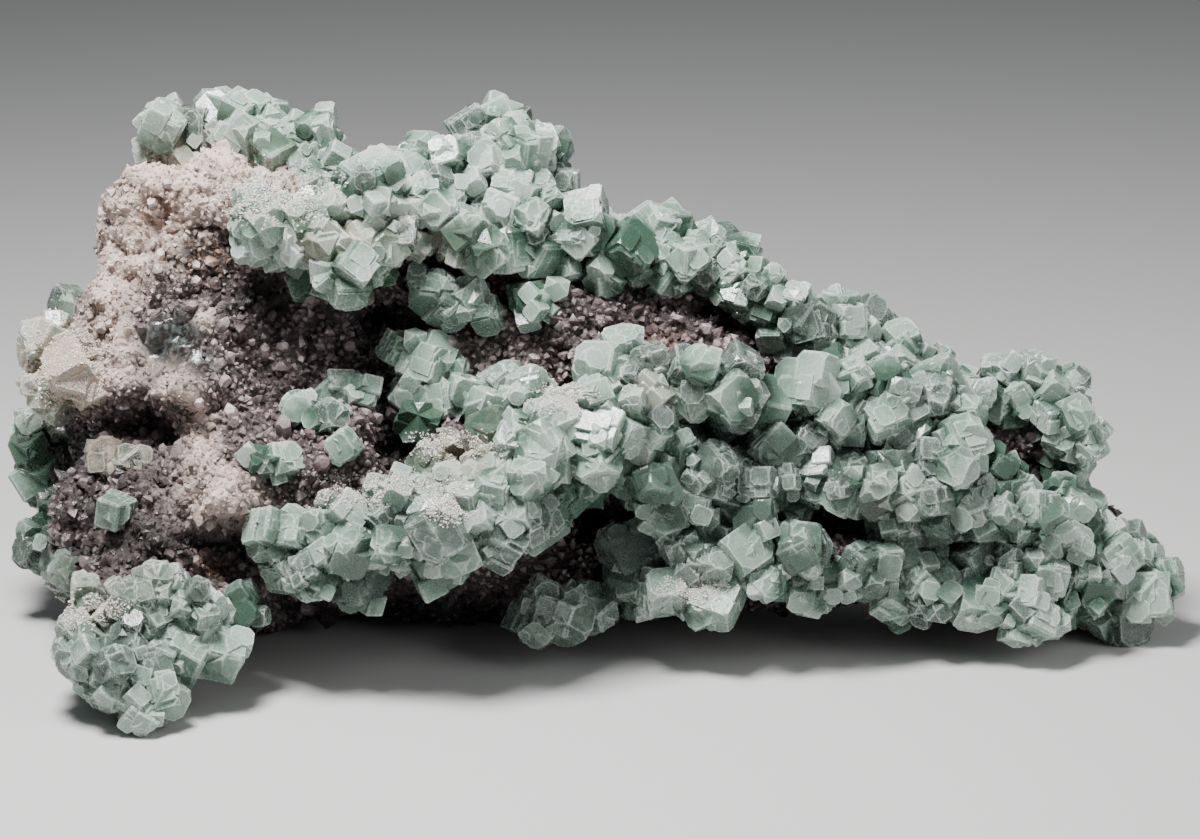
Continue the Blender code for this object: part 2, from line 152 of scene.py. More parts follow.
CLEAR_CRYSTALS = [
    (-4, 5.5, 6, 4, 0.7),
    (8, 12.5, 9, 4.5, 0.9),
    (32, 10.5, 6, 3, 0.5),
    (12.5, 21.5, 4, 3, 0.6),
    (21, 22, 5, 4, 0.5),
    (49, 12, 7, 3, 0.7),
    (42, 32, 4, 2, 0.8),
    (-5, 60, 3, 3, 0.8),
    (45, 15, 14, 5, 0.5),
    (28, 24, 18, 9, 0.4),
    (-6, 12, 6, 5, 0.6),
    (-22, 16, 22, 4, 0.4),
    (-58, 3, 8, 8, 0.85),
    (-18, 44, 5, 3, 0.5),
    (-60, 24, 3, 3, 1.0),
    (-59.6, 17.8, 2, 2, 0.7),
]
# Crystals that get painted shade, a deeper green where they lie in shadow.
SHADED_CRYSTALS = [
    (-72, 19, 4.5, 9, 1.3),
    (-24, 32.5, 3, 4, 0.7),
    (-31.5, 43.8, 6, 2.5, 0.7),
    (-20, 10, 16, 2.5, 0.7),
    (-3, 19, 4, 3, 0.7),
    (5, 21.5, 6, 2, 0.7),
    (7, 13, 7, 4, 0.4),
    (35, 12, 3, 2, 0.5),
    (53, 15.5, 5, 1.5, 0.5),
    (53.5, 32, 4, 1.6, 0.7),
    (54.5, 23.5, 6, 3.5, 0.6),
    (-25, 14.5, 20, 3, 0.4),
    (-58, 3, 9, 8, 0.7),
    (48, 16.8, 5, 1.4, 0.7),
    (13.5, 29.5, 5, 3, 0.7),
    (1, 50, 5, 2, 0.6),
    (-19, 50, 7, 2, 0.6),
]
# Rock that gets painted shade where it lies in shadow, less where it is pale.
SHADED_ROCK = [
    (-56, 15, 12, 8, 0.85),
    (-66, 26, 6, 4, 0.9),
    (-34, 33, 7, 5, 0.25),
    (-42, 44, 6, 5, 0.6),
    (-22, 43, 9, 3, 0.6),
    (-24, 6, 18, 5, 0.7),
    (5, 42, 7, 4, 0.3),
]
# Hollows go back from the front view and get painted shade; ridges stand out towards it.
HOLLOWS = [
    (-55.9, 29.4, 6, 3, 1.0),
    (-46, 14.5, 5, 1.4, 0.6),
    (-67, 27, 4, 4, 0.8),
    (-26, 42.5, 6, 2.5, 1.0),
    (-40, 46.5, 4, 3, 0.8),
    (-23.4, 26.5, 3.5, 2.5, 1.0),
    (-19, 48.5, 8, 1.6, 0.8),
    (-24, 5, 16, 4, 1.0),
    (1, 17.5, 7.5, 4.6, 1.0),
    (14, 28.5, 5, 2.6, 0.7),
    (23.5, 33.5, 1.8, 4, 0.8),
    (33, 26.8, 6, 1.8, 1.0),
    (31, 16.8, 5, 2.4, 0.9),
    (43.5, 14.4, 5.5, 2.0, 1.0),
    (54.5, 23.5, 5.5, 3, 0.75),
    (14.8, 16, 2, 2.5, 0.9),
    (46, 9.5, 1.2, 2.6, 0.9),
    (1.5, 50, 6, 1.6, 0.8),
    (16.5, 43.5, 5.5, 1.6, 0.9),
    (61, 5.5, 2, 2, 0.9),
]
RIDGES = [
    (-48.6, 42.5, 1.3, 1.7, 0.5),
    (-52, 34, 3.5, 3, 0.7),
    (-49, 27.5, 2, 4, 0.8),
    (-46.5, 20, 4.5, 3, 1.0),
    (-40, 57, 6, 3, 0.4),
]
# Places with fine quartz, without a strength. The one that is given twice gets twice as much.
SUGARED = [
    (-27, 21.3, 6, 1.2),
    (-18, 19, 1.5, 1),
    (-17.8, 26.8, 3, 1),
    (-3.4, 32.8, 2, 1),
    (-64.6, 37, 3, 3.5),
    (-64.6, 37, 3, 3.5),
    (-40, 58, 5, 2.5),
    (-62.8, 6.3, 2.5, 1),
    (12.3, 8.8, 2, 1),
]

# Forms that are repeated, in radii or half sides. Cuts are what edges and corners lose. Here and
# further down, the least and greatest of a random number are given as a pair.
LARGE_CUTS = [(0.1, 0.5), (0.08, 0.75), (0.15, 0.3), (0.0, 0.45)]
PLATE_CUTS = [(0.0, 0.35), (0.0, 0.8), (0.0, 0.0)]
SMALL_CUTS = [(0.0, 0.3), (0.0, 0.6), (0.0, 0.9)]
QUARTZ_TILT = math.radians(42.0)
QUARTZ_SIDE = 0.8
QUARTZ_ENDS = (1.12, 0.95)
POINT_RADIUS = 0.8
POINT_UNEVENNESS = 0.13
POINT_TIPS = (1.1, -0.8)
GRAIN_RADII = (0.55, 1.15)

# Smooth noise repeats after this many lumps. Knobs are given as share, width and seed.
LATTICE = 32
KNOBS = [(0.65, 3.4 * MM, 41), (0.35, 1.7 * MM, 42)]
KNOB_STEEPNESS = 2.4

# Rays that measure how open a place is, and the test for rock that crystals hide.
OPEN_RAYS = 6
OPEN_REACH = 9.0 * MM
OPEN_START = 1.3 * MM
OPEN_SPREAD = 0.8
COVER_REACH = 20.0 * MM
COVER_GAP = 1.2 * MM

# Crystals stand past the solids by this much at most.
BOX_MARGIN = 0.8 * MM

# The cores of fluorite, the rock that crystals keep clear of, where on a core they can grow, and
# how their sizes vary over the specimen and from one to the next.
CORE_FINENESS = 1.0 * MM
CORE_SMOOTHING = 3
CORE_DEPTH = 0.6 * MM
CORE_RISE = 0.1
# In the hollows the core's rise falls by this much: painted shade.
CORE_HOLLOW_FALL = 0.6
CORE_LIMITS = 9.0
CLUMP_LIFT = 0.4
PROBE_FINENESS = 1.2 * MM
PROBE_SMOOTHING = 1
SEEDS_PER_AREA = 40.0
SEED_COUNTS = (2000, 60000)
ROCK_GAP = 0.9 * MM
FACES_DOWN = -0.95
LOW_PLACE = 1.5 * MM
TOO_HOLLOW = 0.6
COARSE_WIDTH = 7.0 * MM
COARSE_SEED = 31
COARSE_BASE = 0.7
COARSE_CHANGE = 0.6
LARGE_HALF = (0.65, 1.15)
SMALL_HALF = (0.55, 1.2)

# How deep the middles of the large crystals lie, and what each crystal carries for its colour.
# The falls are painted shade: they lower a crystal's rise, and so make it a deeper green, where
# little of the space over it is open, in the places marked as shaded and in the hollows.
SEED_DEPTH = 0.3
RUST_WARMTH = 0.4
HOLLOW_GREEN = 0.8
CLEAR_SHARE = 0.16
CLEARNESS = 0.8
RISE_AT_SEED = 0.35
RISE_SLOPE = 0.55
RISE_MOST = 1.2
SHUT_FALL = 0.5
MARKED_SHADE_FALL = 0.6

# How the crystals of each layer vary, in half sides of the large crystal or in radians.
BLOCK_SIDES = (0.88, 1.08)
TWIN_TURN = math.radians(60.0)
TWIN_SIZE = (0.75, 0.98)
TWIN_SIDES = (0.9, 1.1)
TWIN_SHIFT = 0.2
CORNER_LEAN = 0.45
CORNER_PLACE = (0.35, 0.75)
CORNER_TILT = math.radians(8.0)
CORNER_SIZE = (0.38, 0.62)
CORNER_SIDES = (0.85, 1.15)
PLATE_LEAN = 0.55
PLATE_WIDTH = (0.3, 0.7)
PLATE_REACH = 1.05
PLATE_THICKNESS = (0.2, 0.4)
PLATE_STEP = (0.02, 0.12)
PLATE_TILT = math.radians(2.5)
SMALL_STANDS = (-0.2, 0.5)
SMALL_SIDES = (0.85, 1.15)

# The ground of the rock. Where noise has its middle value, the ground stays where it was.
ROCK_SEED = 100
ROCK_SMOOTHING = 2
LUMP_WIDTH = 6.0 * MM
LUMP_SEED = 0
LUMP_HEIGHT = 2.4 * MM
LUMP_MIDDLE = 0.5
KNOB_HEIGHT = 2.6 * MM
KNOB_MIDDLE = 0.55
FLAT_FOOT = 0.5 * MM

# The druse: where quartz grows, and how its spacing, size, lean and tone vary.
QUARTZ_PLACES = 110000
QUARTZ_LOW = 1.0 * MM
QUARTZ_FACES_DOWN = -0.8
TOO_GREY = 0.5
TURNED_AWAY = (0.1, 0.4)
COARSE_SPACING = 1.1
PALE_SPACING = 0.3
COARSE_RADIUS = 0.6
PALE_RADIUS = 0.4
QUARTZ_RADII = (0.55, 1.25)
PATCH_WIDTH = 2.2 * MM
PATCH_SEED = 7
PATCH_BASE = 0.7
PATCH_CHANGE = 0.6
LEAN_WIDTH = 3.0 * MM
LEAN_SEEDS = (11, 12, 13)
LEAN_TOGETHER = 1.6
LEAN_APART = 0.4
QUARTZ_WIDTHS = (0.7, 1.0)
QUARTZ_LENGTHS = (0.7, 1.4)
TONE_WIDTH = 3.2 * MM
TONE_SEED = 17
TONE_PATCH = 0.55
TONE_OWN = 0.6
RISE_PER_RADIUS = 0.5
RISE_AT_MIDDLE = 0.4

# How much painted shade the rock gets in closed places, creases and hollows.
SHUT_SHADE = 0.5
SHUT_RANGE = (0.75, 0.2)
CREASE_SHADE = 0.75
CREASE_RANGE = (0.4, 0.05)
HOLLOW_SHADE = 0.75
PALE_RELIEF = 0.8
SHADE_MOST = 0.93

# Fine quartz on the crystals.
SUGAR_SEED = 200
SUGAR_RAYS = 30000
SUGAR_SPREAD = 0.7
SUGAR_SPACING = 0.62
SUGAR_RADII = (0.6, 1.4)
SUGAR_WARMTH = 0.75

# Finishes. Noise is given by the size of its lumps in metres. A range is what is read, from and to,
# and what that gives, from and to, which is 0 to 1 where it isn't said.
FLUORITE_IOR = 1.434
QUARTZ_IOR = 1.544
CRYSTAL_CLOUD = 1.6 * MM
CRYSTAL_SPECKLE = 0.4 * MM
RIM_UNEVENNESS = -0.25
RIM_BY_DISTANCE = (0.06, -0.13)
CLOUD_RISE = 0.7
GREEN_BY_RISE = (0.0, 0.6)
FROST_BY_RISE = (0.35, 1.0)
FROST_BY_TONE = (0.0, 1.0, 0.2, 0.9)
FROST_BY_SPECKLE = (0.3, 0.7, 0.75, 1.0)
CLEAR_BY_CLOUD = (0.7, 0.4, 0.6, 1.0)
RIM_BY_RISE = (-0.1, 0.7, 0.05, 0.6)
STAIN_BY_CLOUD = (0.3, 0.55, 0.2, 0.9)
TERRACE_CLOUD = 0.5
TERRACE_STEP = 0.32
TERRACE_SPECKLE = 0.12
CRYSTAL_BUMP = {"Strength": 0.5, "Distance": 0.25 * MM}
CRYSTAL_ROUGHNESS = (0.35, 0.7, 0.1, 0.38)
SEEN_THROUGH_BY_CLEAR = (0.0, 1.0, 0.5, 0.85)
SEEN_THROUGH_BY_RIM = (0.0, 1.0, 1.0, 0.5)
ROCK_CLOUD = 4.0 * MM
ROCK_SPECKLE = 1.1 * MM
ROCK_MIX = 0.8
TIPS_BY_MIX = (0.3, 0.75)
PATCH_BY_MIX = (0.2, 0.6, 0.4, 1.0)
RUST_BY_SPECKLE = (0.42, 0.6)
GROUND_NOISE = 0.6 * MM
GROUND_DETAIL = 5.0
PITS_BY_PALE = (0.1, 0.7, 0.95, 0.15)
PITS_BY_NOISE = (0.25, 0.6)
SMOOTH_BY_GREY = (0.3, 0.7)
GROUND_BUMP_DISTANCE = 0.6 * MM
GROUND_BUMP_BY_SMOOTH = (0.0, 1.0, 1.0, 0.12)
GROUND_ROUGHNESS = (0.0, 1.0, 0.75, 0.15)
# The feet of the quartz points get painted shade, less where the quartz is pale.
FOOT_BY_RISE = (0.55, 0.05)
FOOT_BY_PALE = (0.1, 0.8, 0.85, 0.3)
TIP_BY_RISE = (0.4, 1.0)
TIP_BY_TONE = (0.4, 0.85, 0.0, 0.95)
DRUSE_NOISE = 0.35 * MM
DRUSE_BUMP = {"Strength": 0.9, "Distance": 0.2 * MM}
DRUSE_ROUGHNESS = (0.3, 0.7, 0.2, 0.55)
DRUSE_SEEN_THROUGH = 0.12
SUGAR_ROUGHNESS = 0.35
SUGAR_SEEN_THROUGH = 0.15

# The stage, in metres, and the camera's film and lens in millimetres.
FLOOR_REACH = 3.0
FLOOR_ROUGHNESS = 0.9
KEY_PLACE = (-0.08, -0.085, 0.31)
KEY_SIZE = 0.1
FILL_PLACE = (0.45, -0.25, 0.25)
FILL_SIZE = 0.35
LIGHT_TARGET = (0.0, 0.0, 0.03)
SKY_COLOUR = (0.9, 0.95, 1.0)
FILM_WIDTH = 36.0
LENS = 108.0
NEAREST = 0.01


def length_setting(name, description, default):
    """A setting in metres."""
    return FloatProperty(name=name, description=description, default=default, unit="LENGTH")


def power_setting(name, description, default):
    """A setting in watts."""
    return FloatProperty(name=name, description=description, default=default, unit="POWER")


def count_setting(name, description, default):
    """A setting that is a whole number."""
    return IntProperty(name=name, description=description, default=default, min=0)


def colour_setting(name, description, default):
    """A setting that is a colour."""
    return FloatVectorProperty(
        name=name, description=description, default=default, subtype="COLOR", size=3, min=0.0, max=1.0
    )


class CrystalSettings(bpy.types.PropertyGroup):
    large_side: length_setting("Large Crystals", "Side of the largest crystals", 0.0046)
    large_spacing: length_setting("Large Spacing", "Least distance between large crystals", 0.0034)
    small_side: length_setting("Small Crystals", "Side of the crystals between the large", 0.0024)
    small_spacing: length_setting("Small Spacing", "Least distance between small crystals", 0.0024)
    hollow: length_setting("Hollows", "Depth of the hollows between crystals", 0.004)
    plates: count_setting("Plates", "Plates on each large crystal", 6)
    corner_blocks: count_setting("Corner Blocks", "Blocks at the corners of each large crystal", 2)
    # The deep green is also the colour of the painted shade on the crystals.
    deep: colour_setting("Deep Green", "Colour at a crystal's root", (0.075, 0.155, 0.105))
    milky: colour_setting("Milky Green", "Colour of a crystal's body", (0.36, 0.515, 0.415))
    frosted: colour_setting("Frosted", "Colour of its tips and edges", (0.77, 0.835, 0.785))
    clear: colour_setting("Clear", "Colour of the clear grey crystals", (0.31, 0.39, 0.35))
    beige: colour_setting("Beige", "Colour of the stained crystals", (0.70, 0.56, 0.455))


class RockSettings(bpy.types.PropertyGroup):
    fineness: length_setting("Fineness", "Size of the rock surface's faces", 0.0008)
    large_grain: length_setting("Large Grain", "Width of the larger quartz points", 0.0018)
    large_spacing: length_setting("Large Spacing", "Least distance between larger points", 0.0021)
    grain: length_setting("Grain", "Width of the small quartz points", 0.00115)
    grain_spacing: length_setting("Grain Spacing", "Least distance between small points", 0.0008)
    sugar: length_setting("Sugar", "Width of the fine quartz on the crystals", 0.00034)
    relief: length_setting("Relief", "Depth of the hollows and height of the ridges", 0.004)
    purple: colour_setting("Purple Grey", "Colour of the druse", (0.098, 0.066, 0.068))
    # The crevice colour is also the colour of the painted shade on the ground and the points.
    dark: colour_setting("Crevices", "Colour between the quartz points", (0.014, 0.010, 0.009))
    tips: colour_setting("Tips", "Colour of the quartz points' ends", (0.275, 0.203, 0.208))
    white: colour_setting("White Tips", "Colour of the palest quartz points' ends", (0.62, 0.51, 0.51))
    fine_white: colour_setting("Sugar White", "Colour of the fine quartz", (0.74, 0.685, 0.64))
    pale: colour_setting("Pale Quartz", "Colour of the massive quartz of the rim", (0.77, 0.605, 0.52))
    grey: colour_setting("Grey Quartz", "Colour of the clear quartz patches", (0.085, 0.11, 0.105))
    rust: colour_setting("Rust", "Colour of the iron stains", (0.45, 0.20, 0.07))


class StageSettings(bpy.types.PropertyGroup):
    floor: colour_setting("Floor", "Colour of the floor", (0.5, 0.5, 0.49))
    key_power: power_setting("Key Light", "Power of the main light", 3.0)
    fill_power: power_setting("Fill Light", "Power of the light from the right", 1.4)
    sky: FloatProperty(name="Sky", description="Strength of the light all round", default=0.16)


def normed(vectors):
    """Each vector divided by its length."""
    return vectors / np.linalg.norm(vectors, axis=-1, keepdims=True)


def eased(share):
    """The curve 3t^2 - 2t^3, which is level at 0 and at 1."""
    return share * share * (3.0 - 2.0 * share)


def smooth_step(value, low, high):
    """0 below low, 1 above high, and the eased curve between them."""
    return eased(np.clip((value - low) / (high - low), 0.0, 1.0))


def lattice_noise(points, width, seed):
    """Smooth noise from 0 to 1 with lumps of a given width: random values at the corners of a cubic
    lattice, blended between them along each axis by the eased curve."""
    table = np.random.default_rng(seed).random((LATTICE, LATTICE, LATTICE))
    scaled = points / width
    cell = np.floor(scaled).astype(int)
    share = eased(scaled - cell)
    total = np.zeros(len(points))
    for corner in itertools.product((0, 1), repeat=3):
        index = (cell + corner) % LATTICE
        weight = np.where(corner, share, 1.0 - share).prod(axis=1)
        total += weight * table[index[:, 0], index[:, 1], index[:, 2]]
    return total


def knobs(points):
    """Rounded knobs with creases between them, from 0 in a crease to about 1: how far smooth noise is
    from its middle value, for wide knobs and for narrow ones on them."""
    total = 0.0
    for share, width, seed in KNOBS:
        away = np.abs(2.0 * lattice_noise(points, width, seed) - 1.0)
        total += share * np.minimum(away * KNOB_STEEPNESS, 1.0)
    return total


def front_view(points):
    """Where the front view shows points: across, up and how near, in millimetres. What is nearer to
    the eye looks larger, by the share of the eye's distance that is left."""
    place = points / MM - VIEW_SHIFT
    near = place @ NEAR_AXIS
    shrink = 1.0 - near / EYE_DISTANCE
    across = VIEW_CENTRE[0] + (place[:, 0] - VIEW_CENTRE[0]) / shrink
    up = VIEW_CENTRE[1] + (place @ UP_AXIS - VIEW_CENTRE[1]) / shrink
    return across, up, near


def front_eye():
    """Where the eye of the front view is, in millimetres from the view's own origin."""
    return VIEW_CENTRE[0] * ACROSS_AXIS + VIEW_CENTRE[1] * UP_AXIS + EYE_DISTANCE * NEAR_AXIS


def marked(points, spots):
    """How much the spots of the front view cover points, from 0 to 1 or to a spot's own strength
    where that is more. Each spot falls off from its middle by the bell curve, what one leaves bare
    another can cover, and all fade towards the back of the specimen."""
    across, up, near = front_view(points)
    left = np.ones(len(points))
    for middle, height, half_width, half_height, strength in spots:
        bell = np.exp(-(((across - middle) / half_width) ** 2) - ((up - height) / half_height) ** 2)
        left *= 1.0 - strength * bell
    return (1.0 - left) * smooth_step(near, *FRONT_FADE)


def convex_form(normals, reach):
    """Corners and faces of the solid inside all the planes: the points where three planes meet that
    no other plane cuts off, and for each plane its own corners in turn round its normal."""
    trios = np.array(list(itertools.combinations(range(len(normals)), 3)))
    sides = normals[trios]
    sound = np.abs(np.linalg.det(sides)) > TINY
    points = np.linalg.solve(sides[sound], reach[trios[sound]][..., None])[..., 0]
    inside = (points @ normals.T <= reach + TINY).all(axis=1)
    corners = np.unique(points[inside].round(DECIMALS), axis=0)
    faces = []
    for normal, distance in zip(normals, reach):
        on = np.flatnonzero(np.abs(corners @ normal - distance) < ON_PLANE)
        if len(on) > 2:
            spokes = corners[on] - corners[on].mean(axis=0)
            turn = np.arctan2(spokes @ np.cross(normal, spokes[0]), spokes @ spokes[0])
            faces.append(on[np.argsort(turn)])
    return corners, faces


@functools.cache
def block_form(edge_cut, corner_cut):
    """A cube of half side 1 with its edges and corners cut back by flat faces."""
    normals, reach = [], []
    for signs in itertools.product((-1.0, 0.0, 1.0), repeat=3):
        count = sum(map(abs, signs))
        if count and (count != 2.0 or edge_cut) and (count != 3.0 or corner_cut):
            cut = {1.0: 0.0, 2.0: edge_cut, 3.0: corner_cut}[count]
            normals.append(np.array(signs) / math.sqrt(count))
            reach.append((count - cut) / math.sqrt(count))
    return convex_form(np.array(normals), np.array(reach))


def quartz_form():
    """A stubby six-sided quartz point of radius 1 that stands on its flat foot, with three of its
    end faces larger than the others."""
    normals, reach = [(0.0, 0.0, -1.0)], [1.0]
    level, steep = math.cos(QUARTZ_TILT), math.sin(QUARTZ_TILT)
    for side in range(6):
        turn = side * math.pi / 3.0
        normals.append((math.cos(turn), math.sin(turn), 0.0))
        reach.append(QUARTZ_SIDE)
        normals.append((math.cos(turn) * level, math.sin(turn) * level, steep))
        reach.append(QUARTZ_ENDS[side % 2])
    return convex_form(np.array(normals), np.array(reach))


def point_form():
    """A double pyramid of radius about 1, six-sided with every other corner further out."""
    side = np.arange(6)
    turn = side * math.pi / 3.0
    reach = POINT_RADIUS + POINT_UNEVENNESS * (-1.0) ** side
    ring = np.stack([reach * np.cos(turn), reach * np.sin(turn), 0.0 * side], axis=1)
    corners = np.vstack([ring, *((0.0, 0.0, height) for height in POINT_TIPS)])
    after = (side + 1) % 6
    upper = np.stack([side, after, np.full(6, 6)], axis=1)
    lower = np.stack([after, side, np.full(6, 7)], axis=1)
    return corners, [*upper, *lower]


def grain_form(seed):
    """A lumpy grain of radius about 1: an icosahedron with its corners moved in or out."""
    rng = np.random.default_rng(seed)
    shape = bmesh.new()
    bmesh.ops.create_icosphere(shape, subdivisions=1, radius=1.0)
    corners = np.array([vert.co for vert in shape.verts]) * rng.uniform(*GRAIN_RADII, (len(shape.verts), 1))
    faces = [np.array([vert.index for vert in face.verts]) for face in shape.faces]
    shape.free()
    return corners, faces


QUARTZ_FORMS = [quartz_form(), grain_form(1), point_form()]
GRAIN_FORMS = [point_form(), point_form(), grain_form(3), point_form(), grain_form(4)]


def random_turns(count, rng):
    """Rotation matrices spread evenly over all turns, from quaternions of four normal numbers."""
    w, x, y, z = normed(rng.normal(size=(count, 4))).T
    return np.array(
        [
            [1 - 2 * (y * y + z * z), 2 * (x * y - z * w), 2 * (x * z + y * w)],
            [2 * (x * y + z * w), 1 - 2 * (x * x + z * z), 2 * (y * z - x * w)],
            [2 * (x * z - y * w), 2 * (y * z + x * w), 1 - 2 * (x * x + y * y)],
        ]
    ).transpose(2, 0, 1)


def turns_about(axes, angles):
    """Rotation matrices about unit axes, by Rodrigues' formula."""
    x, y, z = axes.T
    zero = np.zeros(len(axes))
    cross = np.array([[zero, -z, y], [z, zero, -x], [-y, x, zero]]).transpose(2, 0, 1)
    sine, cosine = np.sin(angles)[:, None, None], np.cos(angles)[:, None, None]
    return np.eye(3) + sine * cross + (1.0 - cosine) * cross @ cross


def slight_turns(count, rng, angle):
    """Rotation matrices about random axes, by about an angle."""
    return turns_about(normed(rng.normal(size=(count, 3))), rng.normal(scale=angle, size=count))


def turns_towards(axes, rng):
    """Rotation matrices that take +Z to each axis, with a random turn about it."""
    side = normed(np.cross(axes, rng.normal(size=axes.shape)))
    return np.stack([side, np.cross(axes, side), axes], axis=2)


class Shapes:
    """Gathers copies of forms, with the values that their vertices carry, into one mesh."""

    def __init__(self):
        self.points = []
        self.loops = []
        self.sizes = []
        self.values = {}
        self.count = 0

    def add(self, form, centres, turns, scales, **values):
        """Copies of a form, scaled along its own axes, turned and moved. A value is one number for
        each copy or for each of its corners, or a row of vectors for each copy."""
        corners, faces = form
        places = centres[:, None] + np.einsum("nij,nvj->nvi", turns, corners * scales[:, None])
        starts = self.count + len(corners) * np.arange(len(centres))
        self.points.append(places)
        self.loops.append((np.concatenate(faces) + starts[:, None]).ravel())
        self.sizes.append(np.tile([len(face) for face in faces], len(centres)))
        self.count += places.shape[0] * places.shape[1]
        whole = places.shape[:2]
        values["own_place"] = np.broadcast_to(corners, (*whole, 3))
        for name, value in values.items():
            full = np.broadcast_to(value if value.ndim > 1 else value[:, None], (*whole, *value.shape[2:]))
            self.values.setdefault(name, []).append(full.reshape(-1, *full.shape[2:]))

    def fit(self, low, high):
        """Moves each copy that lies past the box back inside it."""
        for places in self.points:
            places += np.maximum(low - places.min(axis=1), 0.0)[:, None]
            places -= np.maximum(places.max(axis=1) - high, 0.0)[:, None]

    def make(self, name):
        """The mesh of all copies."""
        points = np.concatenate([places.reshape(-1, 3) for places in self.points])
        mesh = new_mesh(name, points, np.concatenate(self.loops), np.concatenate(self.sizes))
        for key, value in self.values.items():
            set_value(mesh, key, np.concatenate(value))
        return mesh


def new_mesh(name, points, loops, sizes):
    """A flat-shaded mesh from its points, the corners of its faces in one row, and their counts."""
    mesh = bpy.data.meshes.new(name)
    mesh.vertices.add(len(points))
    mesh.vertices.foreach_set("co", points.ravel())
    mesh.loops.add(len(loops))
    mesh.loops.foreach_set("vertex_index", loops)
    mesh.polygons.add(len(sizes))
    mesh.polygons.foreach_set("loop_start", np.cumsum(sizes) - sizes)
    mesh.update(calc_edges=True)
    mesh.shade_flat()
    return mesh


def set_value(mesh, name, value):
    """Gives a mesh's vertices a number or a vector each."""
    kind, field = ("FLOAT_VECTOR", "vector") if value.ndim > 1 else ("FLOAT", "value")
    mesh.attributes.new(name, kind, "POINT").data.foreach_set(field, np.ascontiguousarray(value).ravel())


def add_object(name, mesh, material):
    """An object at the origin with one material."""
    obj = bpy.data.objects.new(name, mesh)
    bpy.context.scene.collection.objects.link(obj)
    mesh.materials.clear()
    mesh.materials.append(material)
    return obj


def add_piece(name, mesh, material, replaced=()):
    """An object that rides on the specimen and takes the place of solids."""
    obj = add_object(name, mesh, material)
    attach(obj, BODY)
    if replaced:
        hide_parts(*replaced)
    return obj


def vertex_places(mesh):
    """The places of a mesh's vertices, one row each."""
    places = np.empty(3 * len(mesh.vertices))
    mesh.vertices.foreach_get("co", places)
    return places.reshape(-1, 3)


def vertex_normals(mesh):
    """The normals at a mesh's vertices, one row each."""
    normals = np.empty(3 * len(mesh.vertices))
    mesh.vertex_normals.foreach_get("vector", normals)
    return normals.reshape(-1, 3)


def refined(name, node, voxel, passes):
    """A fine, even surface round a solid: its loose triangles merged, remeshed and smoothed."""
    shape = bmesh.new()
    shape.from_mesh(frame["nodes"][node].data)
    bmesh.ops.remove_doubles(shape, verts=shape.verts[:], dist=TINY)
    mesh = bpy.data.meshes.new(name)
    shape.to_mesh(mesh)
    shape.free()
    obj = bpy.data.objects.new(name, mesh)
    bpy.context.scene.collection.objects.link(obj)
    remesh = obj.modifiers.new("fine", "REMESH")
    remesh.mode = "VOXEL"
    remesh.voxel_size = voxel
    smooth = obj.modifiers.new("smooth", "SMOOTH")
    smooth.factor = 0.5
    smooth.iterations = passes
    graph = bpy.context.evaluated_depsgraph_get()
    graph.update()
    fine = bpy.data.meshes.new_from_object(obj.evaluated_get(graph))
    bpy.data.objects.remove(obj)
    fine.name = name
    return fine


def moved(mesh, rise, relief):
    """Moves each vertex along its normal by its own rise, and from or towards the front view by the
    relief of the hollows and ridges there, and never under the ground."""
    places = vertex_places(mesh)
    depth = relief * (marked(places, RIDGES) - marked(places, HOLLOWS))
    places = places + vertex_normals(mesh) * rise[:, None] + depth[:, None] * NEAR_AXIS
    places[:, 2] = np.maximum(places[:, 2], 0.0)
    mesh.vertices.foreach_set("co", places.ravel())
    mesh.update()
    return mesh


def scattered(mesh, count, rng):
    """Random points spread over a surface by its area, with its normals there."""
    mesh.calc_loop_triangles()
    index = np.empty(3 * len(mesh.loop_triangles), dtype=np.int32)
    mesh.loop_triangles.foreach_get("vertices", index)
    index = index.reshape(-1, 3)
    corners = vertex_places(mesh)[index]
    normals = vertex_normals(mesh)[index]
    areas = np.linalg.norm(np.cross(corners[:, 1] - corners[:, 0], corners[:, 2] - corners[:, 0]), axis=1)
    chosen = rng.choice(len(areas), size=count, p=areas / areas.sum())
    share = rng.dirichlet((1.0, 1.0, 1.0), size=count)[..., None]
    return (corners[chosen] * share).sum(axis=1), normed((normals[chosen] * share).sum(axis=1))


def thinned(points, spacing):
    """Which of the points to keep so that no two are closer than their spacing: each in turn is
    kept if no kept one before it is too close."""
    tree = KDTree(len(points))
    for index, point in enumerate(points):
        tree.insert(point, index)
    tree.balance()
    spacing = np.broadcast_to(spacing, len(points))
    free = np.ones(len(points), dtype=bool)
    kept = []
    for index, point in enumerate(points):
        if free[index]:
            kept.append(index)
            free[[found for _, found, _ in tree.find_range(point, spacing[index])]] = False
    return np.array(kept)


def surface_tree(*meshes):
    """One tree for ray casts of all the faces of some meshes."""
    places, faces = [], []
    for mesh in meshes:
        start = len(places)
        places.extend(vertex.co for vertex in mesh.vertices)
        faces.extend([start + index for index in face.vertices] for face in mesh.polygons)
    return BVHTree.FromPolygons(places, faces)


def clearance(points, tree):
    """How far points lie outside a closed surface, and less than 0 inside it."""
    found = [tree.find_nearest(point) for point in points]
    feet = np.array([foot for foot, _, _, _ in found])
    outward = np.array([out for _, out, _, _ in found])
    away = points - feet
    return np.linalg.norm(away, axis=1) * np.sign((away * outward).sum(axis=1))


